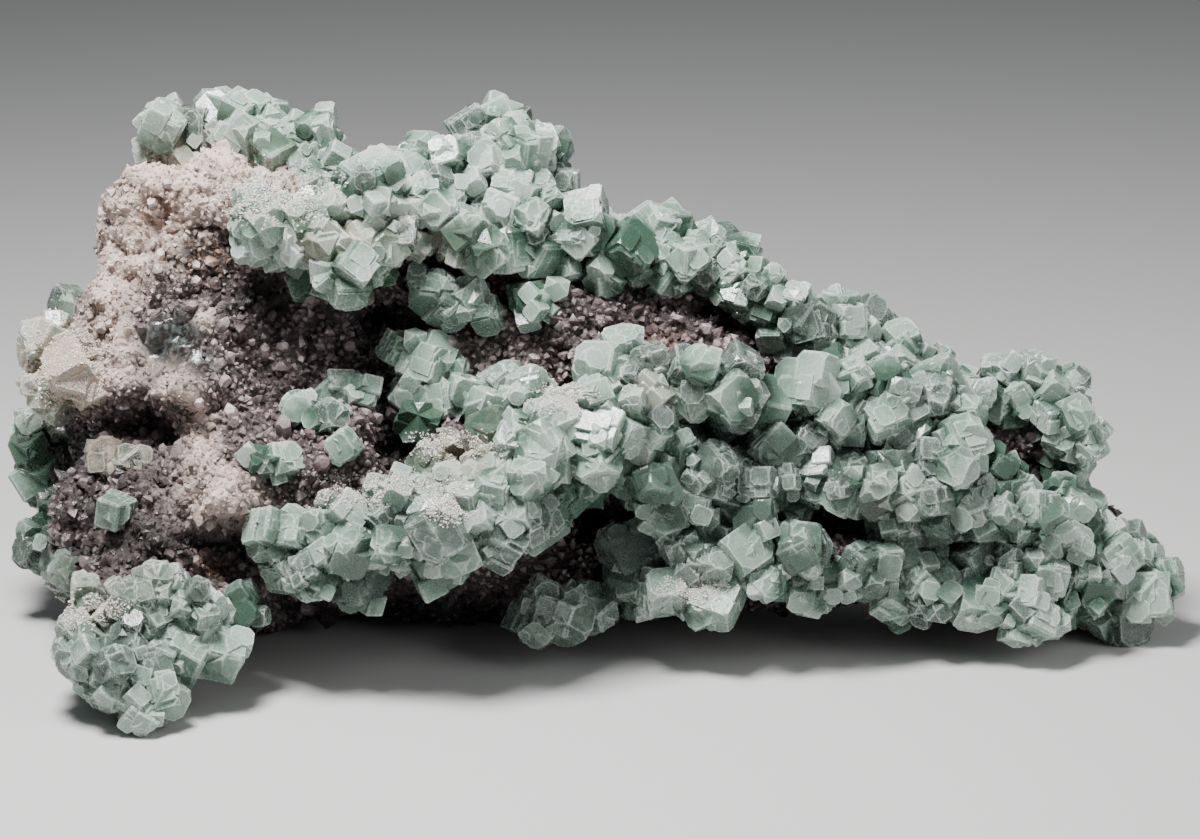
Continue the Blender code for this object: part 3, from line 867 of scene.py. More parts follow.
def openness(points, normals, tree, rng):
    """How open the space over points is, from 0 to 1: the mean length of some rays round the normal,
    each stopped by the first face it meets or at its reach."""
    total = np.zeros(len(points))
    for _ in range(OPEN_RAYS):
        rays = normed(normals + OPEN_SPREAD * normed(rng.normal(size=normals.shape)))
        for row, (start, ray) in enumerate(zip(points + OPEN_START * normals, rays)):
            length = tree.ray_cast(start, ray, OPEN_REACH)[3]
            total[row] += 1.0 if length is None else length / OPEN_REACH
    return total / OPEN_RAYS


def covered(points, normals, tree):
    """Whether a closed surface holds points inside it or lies close over them."""
    hidden = []
    for point, normal in zip(points, normals):
        _, face_normal, _, length = tree.ray_cast(point, normal, COVER_REACH)
        hidden.append(length is not None and (face_normal.dot(normal) > 0.0 or length < COVER_GAP))
    return np.array(hidden)


class Paint:
    """A material's nodes. Each call adds one node, joined to what its inputs name."""

    def __init__(self, name):
        self.material = bpy.data.materials.new(name)
        self.material.use_nodes = True
        self.tree = self.material.node_tree
        self.shader = self.tree.nodes["Principled BSDF"]

    def add(self, kind, output=0, inputs=None, **settings):
        """A node with its settings and inputs, and which of its outputs is wanted."""
        node = self.tree.nodes.new(kind)
        for key, value in settings.items():
            setattr(node, key, value)
        for key, value in (inputs or {}).items():
            self.join(node.inputs[key], value)
        return node.outputs[output]

    def join(self, socket, value):
        """Links a socket to another node's output, or sets it to a constant."""
        if isinstance(value, bpy.types.NodeSocket):
            self.tree.links.new(value, socket)
        else:
            socket.default_value = value

    def set(self, **inputs):
        """Sets or links the shader's own sockets."""
        for key, value in inputs.items():
            self.join(self.shader.inputs[key.replace("_", " ")], value)

    def carried(self, name, output="Fac"):
        """What the vertices carry under a name."""
        return self.add("ShaderNodeAttribute", output, attribute_name=name)

    def parts(self, vector):
        """The three numbers of a vector."""
        node = self.tree.nodes.new("ShaderNodeSeparateXYZ")
        self.join(node.inputs[0], vector)
        return list(node.outputs)

    def math(self, operation, *values):
        """One step of arithmetic."""
        return self.add("ShaderNodeMath", inputs=dict(enumerate(values)), operation=operation)

    def times(self, first, second):
        """The product of two values."""
        return self.math("MULTIPLY", first, second)

    def ramp(self, value, low, high, start=0.0, end=1.0):
        """A value that goes from start to end as another goes from low to high."""
        return self.add(
            "ShaderNodeMapRange",
            inputs={"Value": value, "From Min": low, "From Max": high, "To Min": start, "To Max": end},
            interpolation_type="SMOOTHSTEP",
        )

    def blend(self, share, colour, other):
        """A colour with a share of another, which is given as three numbers, over it."""
        inputs = {0: share, 6: colour, 7: opaque(other)}
        return self.add("ShaderNodeMix", output=2, inputs=inputs, data_type="RGBA")

    def noise(self, place, size, detail=3.0):
        """Noise with lumps of a size in metres."""
        inputs = {"Vector": place, "Scale": 1.0 / size, "Detail": detail}
        return self.add("ShaderNodeTexNoise", inputs=inputs)

    def bump(self, **inputs):
        """Low relief from a height."""
        return self.add("ShaderNodeBump", inputs=inputs)

    def object_place(self):
        """The place on the object, in metres."""
        return self.add("ShaderNodeTexCoord", "Object")


def opaque(colour):
    """A colour with its alpha of 1."""
    return (*colour, 1.0)


def crystal_edge(paint, own, limits):
    """How far a place on a crystal's face is from the face's nearest edge, in millimetres. There the
    distance to one of the crystal's planes is 0, so the distance to the nearest edge is about the
    second least of the distances to all its planes."""
    size = paint.parts(paint.add("ShaderNodeVectorMath", inputs={0: own}, operation="ABSOLUTE"))
    edge_limit, corner_limit, half = paint.parts(limits)
    largest = paint.math("MAXIMUM", paint.math("MAXIMUM", size[0], size[1]), size[2])
    least = paint.math("MINIMUM", paint.math("MINIMUM", size[0], size[1]), size[2])
    total = paint.math("ADD", paint.math("ADD", size[0], size[1]), size[2])
    middle = paint.math("SUBTRACT", paint.math("SUBTRACT", total, largest), least)
    first = paint.math("SUBTRACT", 1.0, largest)
    second = paint.math("SUBTRACT", 1.0, middle)
    corner = paint.math("DIVIDE", paint.math("SUBTRACT", corner_limit, total), math.sqrt(3.0))
    pair = paint.math("ADD", largest, middle)
    edge = paint.math("DIVIDE", paint.math("SUBTRACT", edge_limit, pair), math.sqrt(2.0))
    near = paint.math("MAXIMUM", first, paint.math("MINIMUM", corner, edge))
    near = paint.math("MINIMUM", paint.math("MINIMUM", near, second), paint.math("MAXIMUM", corner, edge))
    return paint.times(near, half)


def fluorite_finish():
    """Milky green crystal: deep green at its root, whiter towards its tips and along its edges,
    with the terraces of its growth in low relief. The deep green at the root is partly painted
    shade where the crystals meet, and it stands as painted shade where the carried rise falls in
    closed places, hollows and shaded places."""
    colours = bpy.context.scene.fluorite_crystals
    paint = Paint("fluorite")
    place = paint.object_place()
    own = paint.carried("own_place", "Vector")
    cloud = paint.noise(place, CRYSTAL_CLOUD)
    speckle = paint.noise(place, CRYSTAL_SPECKLE)
    from_edge = crystal_edge(paint, own, paint.carried("limits", "Vector"))
    rim = paint.ramp(paint.math("MULTIPLY_ADD", speckle, RIM_UNEVENNESS, from_edge), *RIM_BY_DISTANCE)

    cloudy = paint.math("MULTIPLY_ADD", cloud, CLOUD_RISE, -CLOUD_RISE / 2.0)
    # The carried rise holds painted shade: it falls in closed places, hollows and shaded places.
    rise = paint.math("ADD", paint.carried("rise"), cloudy)
    colour = paint.blend(paint.ramp(rise, *GREEN_BY_RISE), opaque(colours.deep), colours.milky)
    frost = paint.times(paint.ramp(rise, *FROST_BY_RISE), paint.ramp(paint.carried("tone"), *FROST_BY_TONE))
    frost = paint.times(frost, paint.ramp(speckle, *FROST_BY_SPECKLE))
    colour = paint.blend(frost, colour, colours.frosted)
    clear = paint.times(paint.carried("clear"), paint.ramp(cloud, *CLEAR_BY_CLOUD))
    colour = paint.blend(clear, colour, colours.clear)
    edge = paint.times(rim, paint.ramp(rise, *RIM_BY_RISE))
    colour = paint.blend(edge, colour, colours.frosted)
    stain = paint.times(paint.carried("warm"), paint.ramp(cloud, *STAIN_BY_CLOUD))
    colour = paint.blend(stain, colour, colours.beige)

    terraces = paint.math("SNAP", paint.math("MULTIPLY_ADD", cloud, TERRACE_CLOUD, from_edge), TERRACE_STEP)
    height = paint.math("MULTIPLY_ADD", speckle, TERRACE_SPECKLE, terraces)
    paint.set(
        Base_Color=colour,
        Roughness=paint.ramp(speckle, *CRYSTAL_ROUGHNESS),
        IOR=FLUORITE_IOR,
        Transmission_Weight=paint.times(
            paint.ramp(clear, *SEEN_THROUGH_BY_CLEAR), paint.ramp(edge, *SEEN_THROUGH_BY_RIM)
        ),
        Normal=paint.bump(Height=height, **CRYSTAL_BUMP),
    )
    return paint.material


def rock_colour(paint, place):
    """The rock's colour: purple grey in cloudy patches, pale where the quartz is massive, with clear
    grey patches and rust."""
    colours = bpy.context.scene.fluorite_rock
    cloud = paint.noise(place, ROCK_CLOUD)
    speckle = paint.noise(place, ROCK_SPECKLE)
    mixed = paint.math("ADD", cloud, paint.math("MULTIPLY_ADD", speckle, ROCK_MIX, -ROCK_MIX / 2.0))
    colour = paint.blend(paint.ramp(mixed, *TIPS_BY_MIX), opaque(colours.purple), colours.tips)
    uneven = paint.ramp(mixed, *PATCH_BY_MIX)
    colour = paint.blend(paint.times(paint.carried("pale"), uneven), colour, colours.pale)
    colour = paint.blend(paint.times(paint.carried("grey"), uneven), colour, colours.grey)
    stain = paint.times(paint.carried("rust"), paint.ramp(speckle, *RUST_BY_SPECKLE))
    return paint.blend(stain, colour, colours.rust)


def rock_finish():
    """The ground between the quartz points: their colour, darkened in its pits and by the painted
    shade that its vertices carry, and smooth where the quartz is clear."""
    dark = bpy.context.scene.fluorite_rock.dark
    paint = Paint("rock_ground")
    place = paint.object_place()
    fine = paint.noise(place, GROUND_NOISE, GROUND_DETAIL)
    colour = rock_colour(paint, place)
    pits = paint.times(paint.ramp(paint.carried("pale"), *PITS_BY_PALE), paint.ramp(fine, *PITS_BY_NOISE))
    colour = paint.blend(paint.math("MAXIMUM", pits, paint.carried("shade")), colour, dark)
    smooth = paint.ramp(paint.carried("grey"), *SMOOTH_BY_GREY)
    strength = paint.ramp(smooth, *GROUND_BUMP_BY_SMOOTH)
    paint.set(
        Base_Color=colour,
        Roughness=paint.ramp(smooth, *GROUND_ROUGHNESS),
        Normal=paint.bump(Height=fine, Strength=strength, Distance=GROUND_BUMP_DISTANCE),
    )
    return paint.material


def druse_finish():
    """Quartz points: cloudy purple grey, darkened by painted shade at the foot between the points
    and where they carry shade, and whiter at the tip, with glassy faces.
    """
    colours = bpy.context.scene.fluorite_rock
    paint = Paint("quartz_druse")
    place = paint.object_place()
    colour = rock_colour(paint, place)
    rise = paint.carried("rise")
    # Painted shade at the foot of each point, where it stands between the others.
    foot = paint.times(paint.ramp(rise, *FOOT_BY_RISE), paint.ramp(paint.carried("pale"), *FOOT_BY_PALE))
    colour = paint.blend(foot, colour, colours.dark)
    tip = paint.times(paint.ramp(rise, *TIP_BY_RISE), paint.ramp(paint.carried("tone"), *TIP_BY_TONE))
    colour = paint.blend(tip, colour, colours.white)
    colour = paint.blend(paint.carried("shade"), colour, colours.dark)
    fine = paint.noise(place, DRUSE_NOISE)
    paint.set(
        Base_Color=colour,
        Roughness=paint.ramp(fine, *DRUSE_ROUGHNESS),
        IOR=QUARTZ_IOR,
        Transmission_Weight=DRUSE_SEEN_THROUGH,
        Normal=paint.bump(Height=fine, **DRUSE_BUMP),
    )
    return paint.material


def sugar_finish():
    """Fine white quartz, beige where the crystals under it are."""
    white = opaque(bpy.context.scene.fluorite_rock.fine_white)
    paint = Paint("quartz_sugar")
    paint.set(
        Base_Color=paint.blend(paint.carried("warm"), white, bpy.context.scene.fluorite_crystals.beige),
        Roughness=SUGAR_ROUGHNESS,
        IOR=QUARTZ_IOR,
        Transmission_Weight=SUGAR_SEEN_THROUGH,
    )
    return paint.material


def allowed_box():
    """The box that the crystals keep to: a little past the solids, and not under the ground."""
    low, high = (np.array(corner) for corner in CAD_BOX)
    low, high = low - BOX_MARGIN, high + BOX_MARGIN
    low[2] = 0.0
    return low, high


class Seeds:
    """Where a layer of crystals grows on a core: each crystal's point and normal there, its half
    side, its turn and centre, and what it carries: its tone, its stains, how open it lies and the
    painted shade of the places marked as shaded or hollow."""

    def __init__(self, points, normals, half, tree, rng):
        count = len(points)
        self.points = points
        self.normals = normals
        self.half = half
        self.turns = random_turns(count, rng)
        self.centres = points - normals * (SEED_DEPTH * half)[:, None]
        self.open = openness(points, normals, tree, rng)
        self.tone = rng.random(count)
        self.warm = marked(points, BEIGE_CRYSTALS) + RUST_WARMTH * marked(points, RUSTY)
        # Painted shade: a deeper green in the places marked as shaded and in the hollows.
        self.deep = marked(points, SHADED_CRYSTALS) + HOLLOW_GREEN * marked(points, HOLLOWS)
        by_chance = CLEARNESS * (rng.random(count) < CLEAR_SHARE)
        self.clear = np.maximum(marked(points, CLEAR_CRYSTALS), by_chance)

    def outward(self, spread, rng):
        """The normals in each crystal's own axes, each with a random part added."""
        own = np.einsum("nij,ni->nj", self.turns, self.normals)
        return own + rng.normal(scale=spread, size=self.points.shape)

    def at(self, place):
        """Where places in each crystal's own axes and half sides are."""
        return self.centres + np.einsum("nij,nj->ni", self.turns, place) * self.half[:, None]

    def sides(self, each, rng, whole=None):
        """Half sides along the three axes, each times its own random number and, where it is given,
        all three times one more."""
        count = len(self.points)
        size = self.half[:, None]
        if whole:
            size = size * rng.uniform(*whole, (count, 1))
        return size * rng.uniform(*each, (count, 3))


def add_blocks(shapes, cuts, seeds, centres, turns, sizes, lift, rng):
    """Adds blocks of forms chosen at random, one for each seed. Their rise goes from 0 below the
    core's surface to 1 at the tip of the seed's crystal, is lifted by a share of what it lacks, and
    falls as painted shade where the seed lies in a closed place, a hollow or a place marked as shaded."""
    chosen = rng.integers(len(cuts), size=len(centres))
    shade_fall = SHUT_FALL * (1.0 - seeds.open) + MARKED_SHADE_FALL * seeds.deep
    for number, (edge_cut, corner_cut) in enumerate(cuts):
        pick = chosen == number
        form = block_form(edge_cut, corner_cut)
        corners = centres[pick, None] + np.einsum("nij,nvj->nvi", turns[pick], form[0] * sizes[pick, None])
        above = np.einsum("nvi,ni->nv", corners - seeds.points[pick, None], seeds.normals[pick])
        rise = np.clip(RISE_AT_SEED + RISE_SLOPE * above / seeds.half[pick, None], 0.0, RISE_MOST)
        limits = np.empty((pick.sum(), 1, 3))
        limits[:, 0] = (2.0 - edge_cut, 3.0 - corner_cut, 0.0)
        limits[:, 0, 2] = sizes[pick].mean(axis=1) / MM
        carried = {
            "rise": lift + (1.0 - lift) * rise - shade_fall[pick, None],
            "limits": limits,
            "tone": seeds.tone[pick],
            "warm": seeds.warm[pick],
            "clear": seeds.clear[pick],
        }
        shapes.add(form, centres[pick], turns[pick], sizes[pick], **carried)


def grow_blocks(shapes, seeds, lift, rng):
    """Large blocks, half sunk in the core, each with a twin through it that is turned by 60 degrees
    about one of the block's diagonals."""
    count = len(seeds.points)
    sizes = seeds.sides(BLOCK_SIDES, rng)
    add_blocks(shapes, LARGE_CUTS, seeds, seeds.centres, seeds.turns, sizes, lift, rng)
    diagonals = normed(rng.choice((-1.0, 1.0), size=(count, 3)))
    twins = seeds.turns @ turns_about(diagonals, np.full(count, TWIN_TURN))
    sizes = seeds.sides(TWIN_SIDES, rng, TWIN_SIZE)
    places = seeds.centres + TWIN_SHIFT * seeds.half[:, None] * rng.normal(size=(count, 3))
    add_blocks(shapes, LARGE_CUTS, seeds, places, twins, sizes, lift, rng)


def grow_corners(shapes, seeds, lift, rng):
    """Blocks of about half the size that stand out at the outer corners of large ones."""
    count = len(seeds.points)
    for _ in range(bpy.context.scene.fluorite_crystals.corner_blocks):
        lean = seeds.outward(CORNER_LEAN, rng)
        place = np.sign(lean) * rng.uniform(*CORNER_PLACE, (count, 3))
        tipped = seeds.turns @ slight_turns(count, rng, CORNER_TILT)
        sizes = seeds.sides(CORNER_SIDES, rng, CORNER_SIZE)
        add_blocks(shapes, LARGE_CUTS, seeds, seeds.at(place), tipped, sizes, lift, rng)


def grow_plates(shapes, seeds, lift, rng):
    """Thin plates on the outer faces of large blocks. Each stands a little above its face, reaches
    a little past the face's edge, and nearly shares the block's axes."""
    count = len(seeds.points)
    rows = np.arange(count)
    for _ in range(bpy.context.scene.fluorite_crystals.plates):
        lean = seeds.outward(PLATE_LEAN, rng)
        axis = np.abs(lean).argmax(axis=1)
        width = rng.uniform(*PLATE_WIDTH, (count, 3))
        place = (PLATE_REACH - width) * rng.uniform(-1.0, 1.0, (count, 3))
        width[rows, axis] = rng.uniform(*PLATE_THICKNESS, count)
        out = 1.0 - width[rows, axis] + rng.uniform(*PLATE_STEP, count)
        place[rows, axis] = np.sign(lean[rows, axis]) * out
        tipped = seeds.turns @ slight_turns(count, rng, PLATE_TILT)
        sizes = width * seeds.half[:, None]
        add_blocks(shapes, PLATE_CUTS, seeds, seeds.at(place), tipped, sizes, lift, rng)


def grow_small(shapes, seeds, lift, rng):
    """Small blocks between the large ones."""
    stands = rng.uniform(*SMALL_STANDS, len(seeds.points)) * seeds.half
    centres = seeds.points + seeds.normals * stands[:, None]
    add_blocks(shapes, SMALL_CUTS, seeds, centres, seeds.turns, seeds.sides(SMALL_SIDES, rng), lift, rng)


def node_core(node, lift):
    """A node's core, which follows its solid a little inside it. It carries no edges: its limits are
    too far off for a rim."""
    core = refined(node + "_core", node, CORE_FINENESS, CORE_SMOOTHING)
    sunk = np.full(len(core.vertices), -CORE_DEPTH)
    core = moved(core, sunk, bpy.context.scene.fluorite_crystals.hollow)
    core.shade_smooth()
    places = vertex_places(core)
    # The rise falls in the hollows: painted shade.
    set_value(core, "rise", CORE_RISE + lift - CORE_HOLLOW_FALL * marked(places, HOLLOWS))
    set_value(core, "tone", np.zeros(len(places)))
    set_value(core, "warm", marked(places, BEIGE_CRYSTALS))
    set_value(core, "limits", np.full((len(places), 3), CORE_LIMITS))
    return core


def growing_places(node, core, rock_tree, rng):
    """Random places on a core, and its normals there, that are clear of the rock, of the ground and
    of the hollows. Their number goes by the face of a cube as large as the node's box."""
    low, high = (np.array(corner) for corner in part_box(node))
    face = np.prod(high - low) ** (2.0 / 3.0) / MM**2
    points, normals = scattered(core, int(np.clip(face * SEEDS_PER_AREA, *SEED_COUNTS)), rng)
    kept = clearance(points, rock_tree) > ROCK_GAP
    kept &= (normals[:, 2] > FACES_DOWN) | (points[:, 2] > LOW_PLACE)
    kept &= marked(points, HOLLOWS) < TOO_HOLLOW
    return points[kept], normals[kept]


def grow_node(node, trees, seed, material):
    """A node's core and the crystals on it: large ones with all that grows on them, then small."""
    crystals = bpy.context.scene.fluorite_crystals
    rock_tree, solids_tree = trees
    rng = np.random.default_rng(seed)
    lift = 0.0 if node == CRUST else CLUMP_LIFT
    core = node_core(node, lift)
    points, normals = growing_places(node, core, rock_tree, rng)
    layers = [Shapes() for _ in CRUST_LAYERS] if node == CRUST else [Shapes()] * len(CRUST_LAYERS)
    coarse = COARSE_BASE + COARSE_CHANGE * lattice_noise(points, COARSE_WIDTH, COARSE_SEED)
    chosen = thinned(points, crystals.large_spacing * coarse)
    half = crystals.large_side / 2.0 * rng.uniform(*LARGE_HALF, len(chosen)) * coarse[chosen]
    large = Seeds(points[chosen], normals[chosen], half, solids_tree, rng)
    for shapes, grow in zip(layers, (grow_blocks, grow_corners, grow_plates)):
        grow(shapes, large, lift, rng)
    chosen = thinned(points, crystals.small_spacing)
    half = crystals.small_side / 2.0 * rng.uniform(*SMALL_HALF, len(chosen))
    grow_small(layers[-1], Seeds(points[chosen], normals[chosen], half, solids_tree, rng), lift, rng)
    add_piece(node + "_core", core, material, [node])
    names = CRUST_LAYERS if node == CRUST else ("crystals",)
    grown = []
    for name, shapes in zip(names, layers):
        shapes.fit(*allowed_box())
        grown.append(add_piece(f"{node}_{name}", shapes.make(name), material))
    return grown


def front_rays(spots, count, rng):
    """Rays from the eye of the front view through random places of its spots: the eye, and the
    directions. The places of a spot spread by the bell curve over its width and height."""
    chosen = np.array(spots)[rng.integers(len(spots), size=count)]
    middle, half = chosen[:, :2], chosen[:, 2:]
    place = middle + half * rng.normal(scale=SUGAR_SPREAD, size=(count, 2))
    targets = place[:, :1] * ACROSS_AXIS + place[:, 1:] * UP_AXIS
    return (front_eye() + VIEW_SHIFT) * MM, normed(targets - front_eye())


def grow_sugar(pieces, rng):
    """Fine white quartz on the pieces, where the front view shows it."""
    width = bpy.context.scene.fluorite_rock.sugar
    graph = bpy.context.evaluated_depsgraph_get()
    trees = [BVHTree.FromObject(obj, graph) for obj in pieces]
    eye, rays = front_rays(SUGARED, SUGAR_RAYS, rng)
    found = []
    for ray in rays:
        hits = [hit for hit in (tree.ray_cast(eye, ray) for tree in trees) if hit[0] is not None]
        if hits:
            place, normal, _, _ = min(hits, key=lambda hit: hit[3])
            found.append((*place, *normal))
    found = np.array(found)
    found = found[found[:, 5] > 0.0]
    chosen = thinned(found[:, :3], SUGAR_SPACING * width)
    points, normals = found[chosen, :3], found[chosen, 3:]
    shapes = Shapes()
    radius = width / 2.0 * rng.uniform(*SUGAR_RADII, len(points))
    warm = SUGAR_WARMTH * marked(points, BEIGE_CRYSTALS)
    grow_grains(shapes, GRAIN_FORMS, points, normals, radius, {"warm": warm}, rng)
    add_piece("quartz_sugar", shapes.make("quartz_sugar"), sugar_finish())


class FLUORITE_OT_crystals(bpy.types.Operator):
    """Grow the fine crystals over every node of fluorite"""

    bl_idname = "fluorite.crystals"
    bl_label = "Fluorite Crystals"

    def execute(self, context):
        material = fluorite_finish()
        rock_tree = surface_tree(refined("rock_probe", ROCK, PROBE_FINENESS, PROBE_SMOOTHING))
        solids_tree = surface_tree(*(obj.data for obj in frame["nodes"].values()))
        grown = []
        for seed, node in enumerate(FLUORITE_NODES):
            grown += grow_node(node, (rock_tree, solids_tree), seed, material)
        grow_sugar(grown + [bpy.data.objects["rock_ground"]], np.random.default_rng(SUGAR_SEED))
        return {"FINISHED"}


def rock_shade(points, open_share):
    """The rock's painted shade: dark in the hollows, in the creases between its knobs, in the places
    marked as shaded that aren't pale, and where little of the space over it is open."""
    shade = SHUT_SHADE * smooth_step(open_share, *SHUT_RANGE)
    shade += CREASE_SHADE * smooth_step(knobs(points), *CREASE_RANGE)
    shade += HOLLOW_SHADE * marked(points, HOLLOWS)
    shade += marked(points, SHADED_ROCK) * (1.0 - PALE_RELIEF * marked(points, PALE_ROCK))
    return np.clip(shade, 0.0, SHADE_MOST)


def rock_ground(fluorite_tree, rng):
    """The rock's surface: lumps and knobs of smooth noise, hollows and ridges, flat at the foot."""
    rock = bpy.context.scene.fluorite_rock
    ground = refined("rock_ground", ROCK, rock.fineness, ROCK_SMOOTHING)
    places = vertex_places(ground)
    lumps = LUMP_HEIGHT * (lattice_noise(places, LUMP_WIDTH, LUMP_SEED) - LUMP_MIDDLE)
    lumps += KNOB_HEIGHT * (knobs(places) - KNOB_MIDDLE)
    ground = moved(ground, np.where(places[:, 2] > FLAT_FOOT, lumps, 0.0), rock.relief)
    ground.shade_smooth()
    places = vertex_places(ground)
    for name, spots in (("pale", PALE_ROCK), ("grey", GREY_ROCK), ("rust", RUSTY)):
        set_value(ground, name, marked(places, spots))
    open_share = openness(places, vertex_normals(ground), fluorite_tree, rng)
    set_value(ground, "shade", rock_shade(places, open_share))
    return ground


def quartz_places(ground, fluorite_tree, rng):
    """Random places on the ground, and its normals there, that quartz can grow on: not at the foot,
    not facing down, not on clear grey patches and not under the fluorite."""
    points, normals = scattered(ground, QUARTZ_PLACES, rng)
    kept = (points[:, 2] > QUARTZ_LOW) & (normals[:, 2] > QUARTZ_FACES_DOWN)
    kept &= marked(points, GREY_ROCK) < TOO_GREY
    points, normals = points[kept], normals[kept]
    kept = ~covered(points, normals, fluorite_tree)
    return points[kept], normals[kept]


def grow_grains(shapes, forms, points, normals, radius, values, rng):
    """Quartz points and irregular grains, with some values to carry. Neighbours lean together, and
    each also its own way."""
    count = len(points)
    together = np.stack([lattice_noise(points, LEAN_WIDTH, seed) - 0.5 for seed in LEAN_SEEDS], axis=1)
    lean = LEAN_TOGETHER * together + rng.normal(scale=LEAN_APART, size=(count, 3))
    turns = turns_towards(normed(normals + lean), rng)
    sizes = radius[:, None] * np.stack(
        [np.ones(count), rng.uniform(*QUARTZ_WIDTHS, count), rng.uniform(*QUARTZ_LENGTHS, count)], axis=1
    )
    patches = TONE_PATCH * lattice_noise(points, TONE_WIDTH, TONE_SEED)
    values = {**values, "tone": np.clip(patches + TONE_OWN * rng.random(count), 0.0, 1.0)}
    chosen = rng.integers(len(forms), size=count)
    for number, form in enumerate(forms):
        pick = chosen == number
        rise = np.clip(form[0][:, 2] * RISE_PER_RADIUS + RISE_AT_MIDDLE, 0.0, 1.0)
        carried = {name: value[pick] for name, value in values.items()}
        carried["rise"] = np.broadcast_to(rise, (pick.sum(), len(rise)))
        shapes.add(form, points[pick], turns[pick], sizes[pick], **carried)


class FLUORITE_OT_rock(bpy.types.Operator):
    """Make the knobbly surface of the rock and the quartz points on it"""

    bl_idname = "fluorite.rock"
    bl_label = "Rock and Druse"

    def execute(self, context):
        rock = context.scene.fluorite_rock
        rng = np.random.default_rng(ROCK_SEED)
        fluorite_tree = surface_tree(*(obj.data for node, obj in frame["nodes"].items() if node != ROCK))
        ground = rock_ground(fluorite_tree, rng)
        points, normals = quartz_places(ground, fluorite_tree, rng)
        add_piece("rock_ground", ground, rock_finish(), [ROCK])
        material = druse_finish()
        behind = 1.0 - smooth_step(front_view(points)[2], *FRONT_FADE)
        coarse = np.maximum(behind, smooth_step(np.maximum(-normals @ NEAR_AXIS, 0.0), *TURNED_AWAY))
        apart = (1.0 + COARSE_SPACING * coarse) * (1.0 - PALE_SPACING * marked(points, PALE_ROCK))
        for name, width, spacing, forms in (
            ("quartz_points", rock.large_grain, rock.large_spacing, QUARTZ_FORMS),
            ("quartz_grains", rock.grain, rock.grain_spacing, GRAIN_FORMS),
        ):
            chosen = thinned(points, spacing * apart)
            own, out = points[chosen], normals[chosen]
            radius = width / 2.0 * rng.uniform(*QUARTZ_RADII, len(chosen))
            radius *= PATCH_BASE + PATCH_CHANGE * lattice_noise(own, PATCH_WIDTH, PATCH_SEED)
            radius *= 1.0 + COARSE_RADIUS * coarse[chosen]
            radius *= 1.0 - PALE_RADIUS * marked(own, PALE_ROCK)
            values = {
                "pale": marked(own, PALE_ROCK),
                "grey": marked(own, GREY_ROCK),
                "rust": marked(own, RUSTY),
                "shade": rock_shade(own, openness(own, out, fluorite_tree, rng)),
            }
            shapes = Shapes()
            grow_grains(shapes, forms, own, out, radius, values, rng)
            shapes.fit(*allowed_box())
            add_piece(name, shapes.make(name), material)
        return {"FINISHED"}


class FLUORITE_OT_stage(bpy.types.Operator):
    """Lay the floor and set the lights and the camera of the front view"""

    bl_idname = "fluorite.stage"
    bl_label = "Stage"

    def execute(self, context):
        stage = context.scene.fluorite_stage
        corners = FLOOR_REACH * np.array([(-1, -1, 0), (1, -1, 0), (1, 1, 0), (-1, 1, 0)])
        mesh = new_mesh("floor", corners, np.arange(4), np.array([4]))
        paint = Paint("floor")
        paint.set(Base_Color=opaque(stage.floor), Roughness=FLOOR_ROUGHNESS)
        add_object("floor", mesh, paint.material)
        add_area_light("key", KEY_PLACE, KEY_SIZE, stage.key_power)
        add_area_light("fill", FILL_PLACE, FILL_SIZE, stage.fill_power)
        world = bpy.data.worlds.new("studio")
        world.use_nodes = True
        background = world.node_tree.nodes["Background"]
        background.inputs["Color"].default_value = opaque(SKY_COLOUR)
        background.inputs["Strength"].default_value = stage.sky
        context.scene.world = world
        add_camera(context)
        return {"FINISHED"}


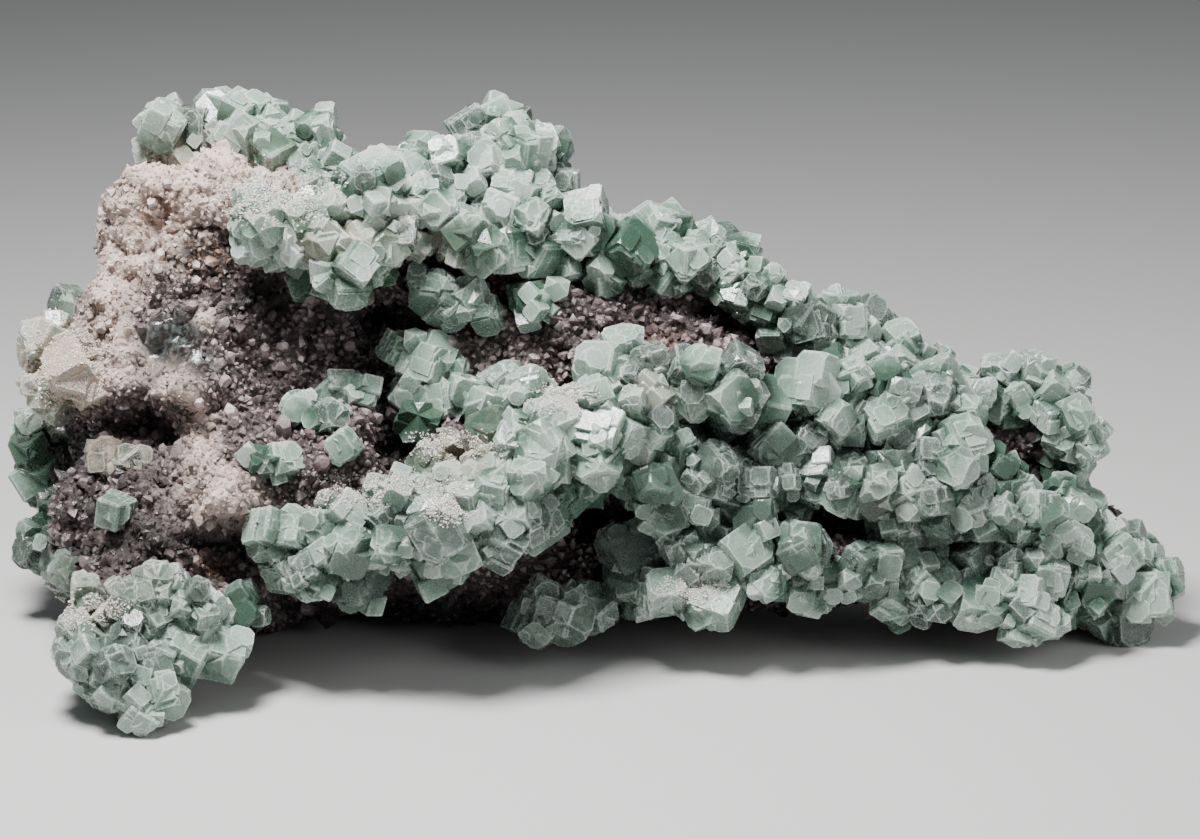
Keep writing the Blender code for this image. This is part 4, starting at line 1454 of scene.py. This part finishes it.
def add_area_light(name, place, size, power):
    """A square soft light that faces the middle of the specimen."""
    light = bpy.data.lights.new(name, "AREA")
    light.size = size
    light.energy = power
    obj = bpy.data.objects.new(name, light)
    bpy.context.scene.collection.objects.link(obj)
    obj.location = place
    obj.rotation_euler = (Vector(LIGHT_TARGET) - obj.location).to_track_quat("-Z", "Y").to_euler()


def add_camera(context):
    """The camera of the front view, level with its own up axis."""
    data = bpy.data.cameras.new("front_view")
    data.sensor_width = FILM_WIDTH
    data.lens = LENS
    data.clip_start = NEAREST
    camera = bpy.data.objects.new("front_view", data)
    context.scene.collection.objects.link(camera)
    camera.location = Vector((front_eye() + VIEW_SHIFT) * MM)
    camera.rotation_euler = Vector(-NEAR_AXIS).to_track_quat("-Z", "Y").to_euler()
    context.scene.camera = camera


class FLUORITE_PT_panel(bpy.types.Panel):
    """The steps that dress the specimen, and their settings"""

    bl_idname = "FLUORITE_PT_panel"
    bl_label = "Fluorite Cluster"
    bl_space_type = "VIEW_3D"
    bl_region_type = "UI"
    bl_category = "Fluorite"

    def draw(self, context):
        for operator, group in STEPS:
            self.layout.operator(operator.bl_idname)
            settings = getattr(context.scene, group)
            for name in settings.bl_rna.properties.keys():
                if name not in ("rna_type", "name"):
                    self.layout.prop(settings, name)


STEPS = [
    (FLUORITE_OT_rock, "fluorite_rock"),
    (FLUORITE_OT_crystals, "fluorite_crystals"),
    (FLUORITE_OT_stage, "fluorite_stage"),
]
SETTINGS = {
    "fluorite_rock": RockSettings,
    "fluorite_crystals": CrystalSettings,
    "fluorite_stage": StageSettings,
}


def register():
    """Adds the settings to the scene, and the steps and the panel to the program."""
    for name, group in SETTINGS.items():
        bpy.utils.register_class(group)
        setattr(bpy.types.Scene, name, PointerProperty(type=group))
    for operator, _ in STEPS:
        bpy.utils.register_class(operator)
    bpy.utils.register_class(FLUORITE_PT_panel)


def unregister():
    """Takes out what register added, in the other order."""
    bpy.utils.unregister_class(FLUORITE_PT_panel)
    for operator, _ in reversed(STEPS):
        bpy.utils.unregister_class(operator)
    for name, group in reversed(SETTINGS.items()):
        delattr(bpy.types.Scene, name)
        bpy.utils.unregister_class(group)


def main():
    """Runs the steps."""
    register()
    bpy.ops.fluorite.rock()
    bpy.ops.fluorite.crystals()
    bpy.ops.fluorite.stage()


if __name__ == "__main__":
    main()
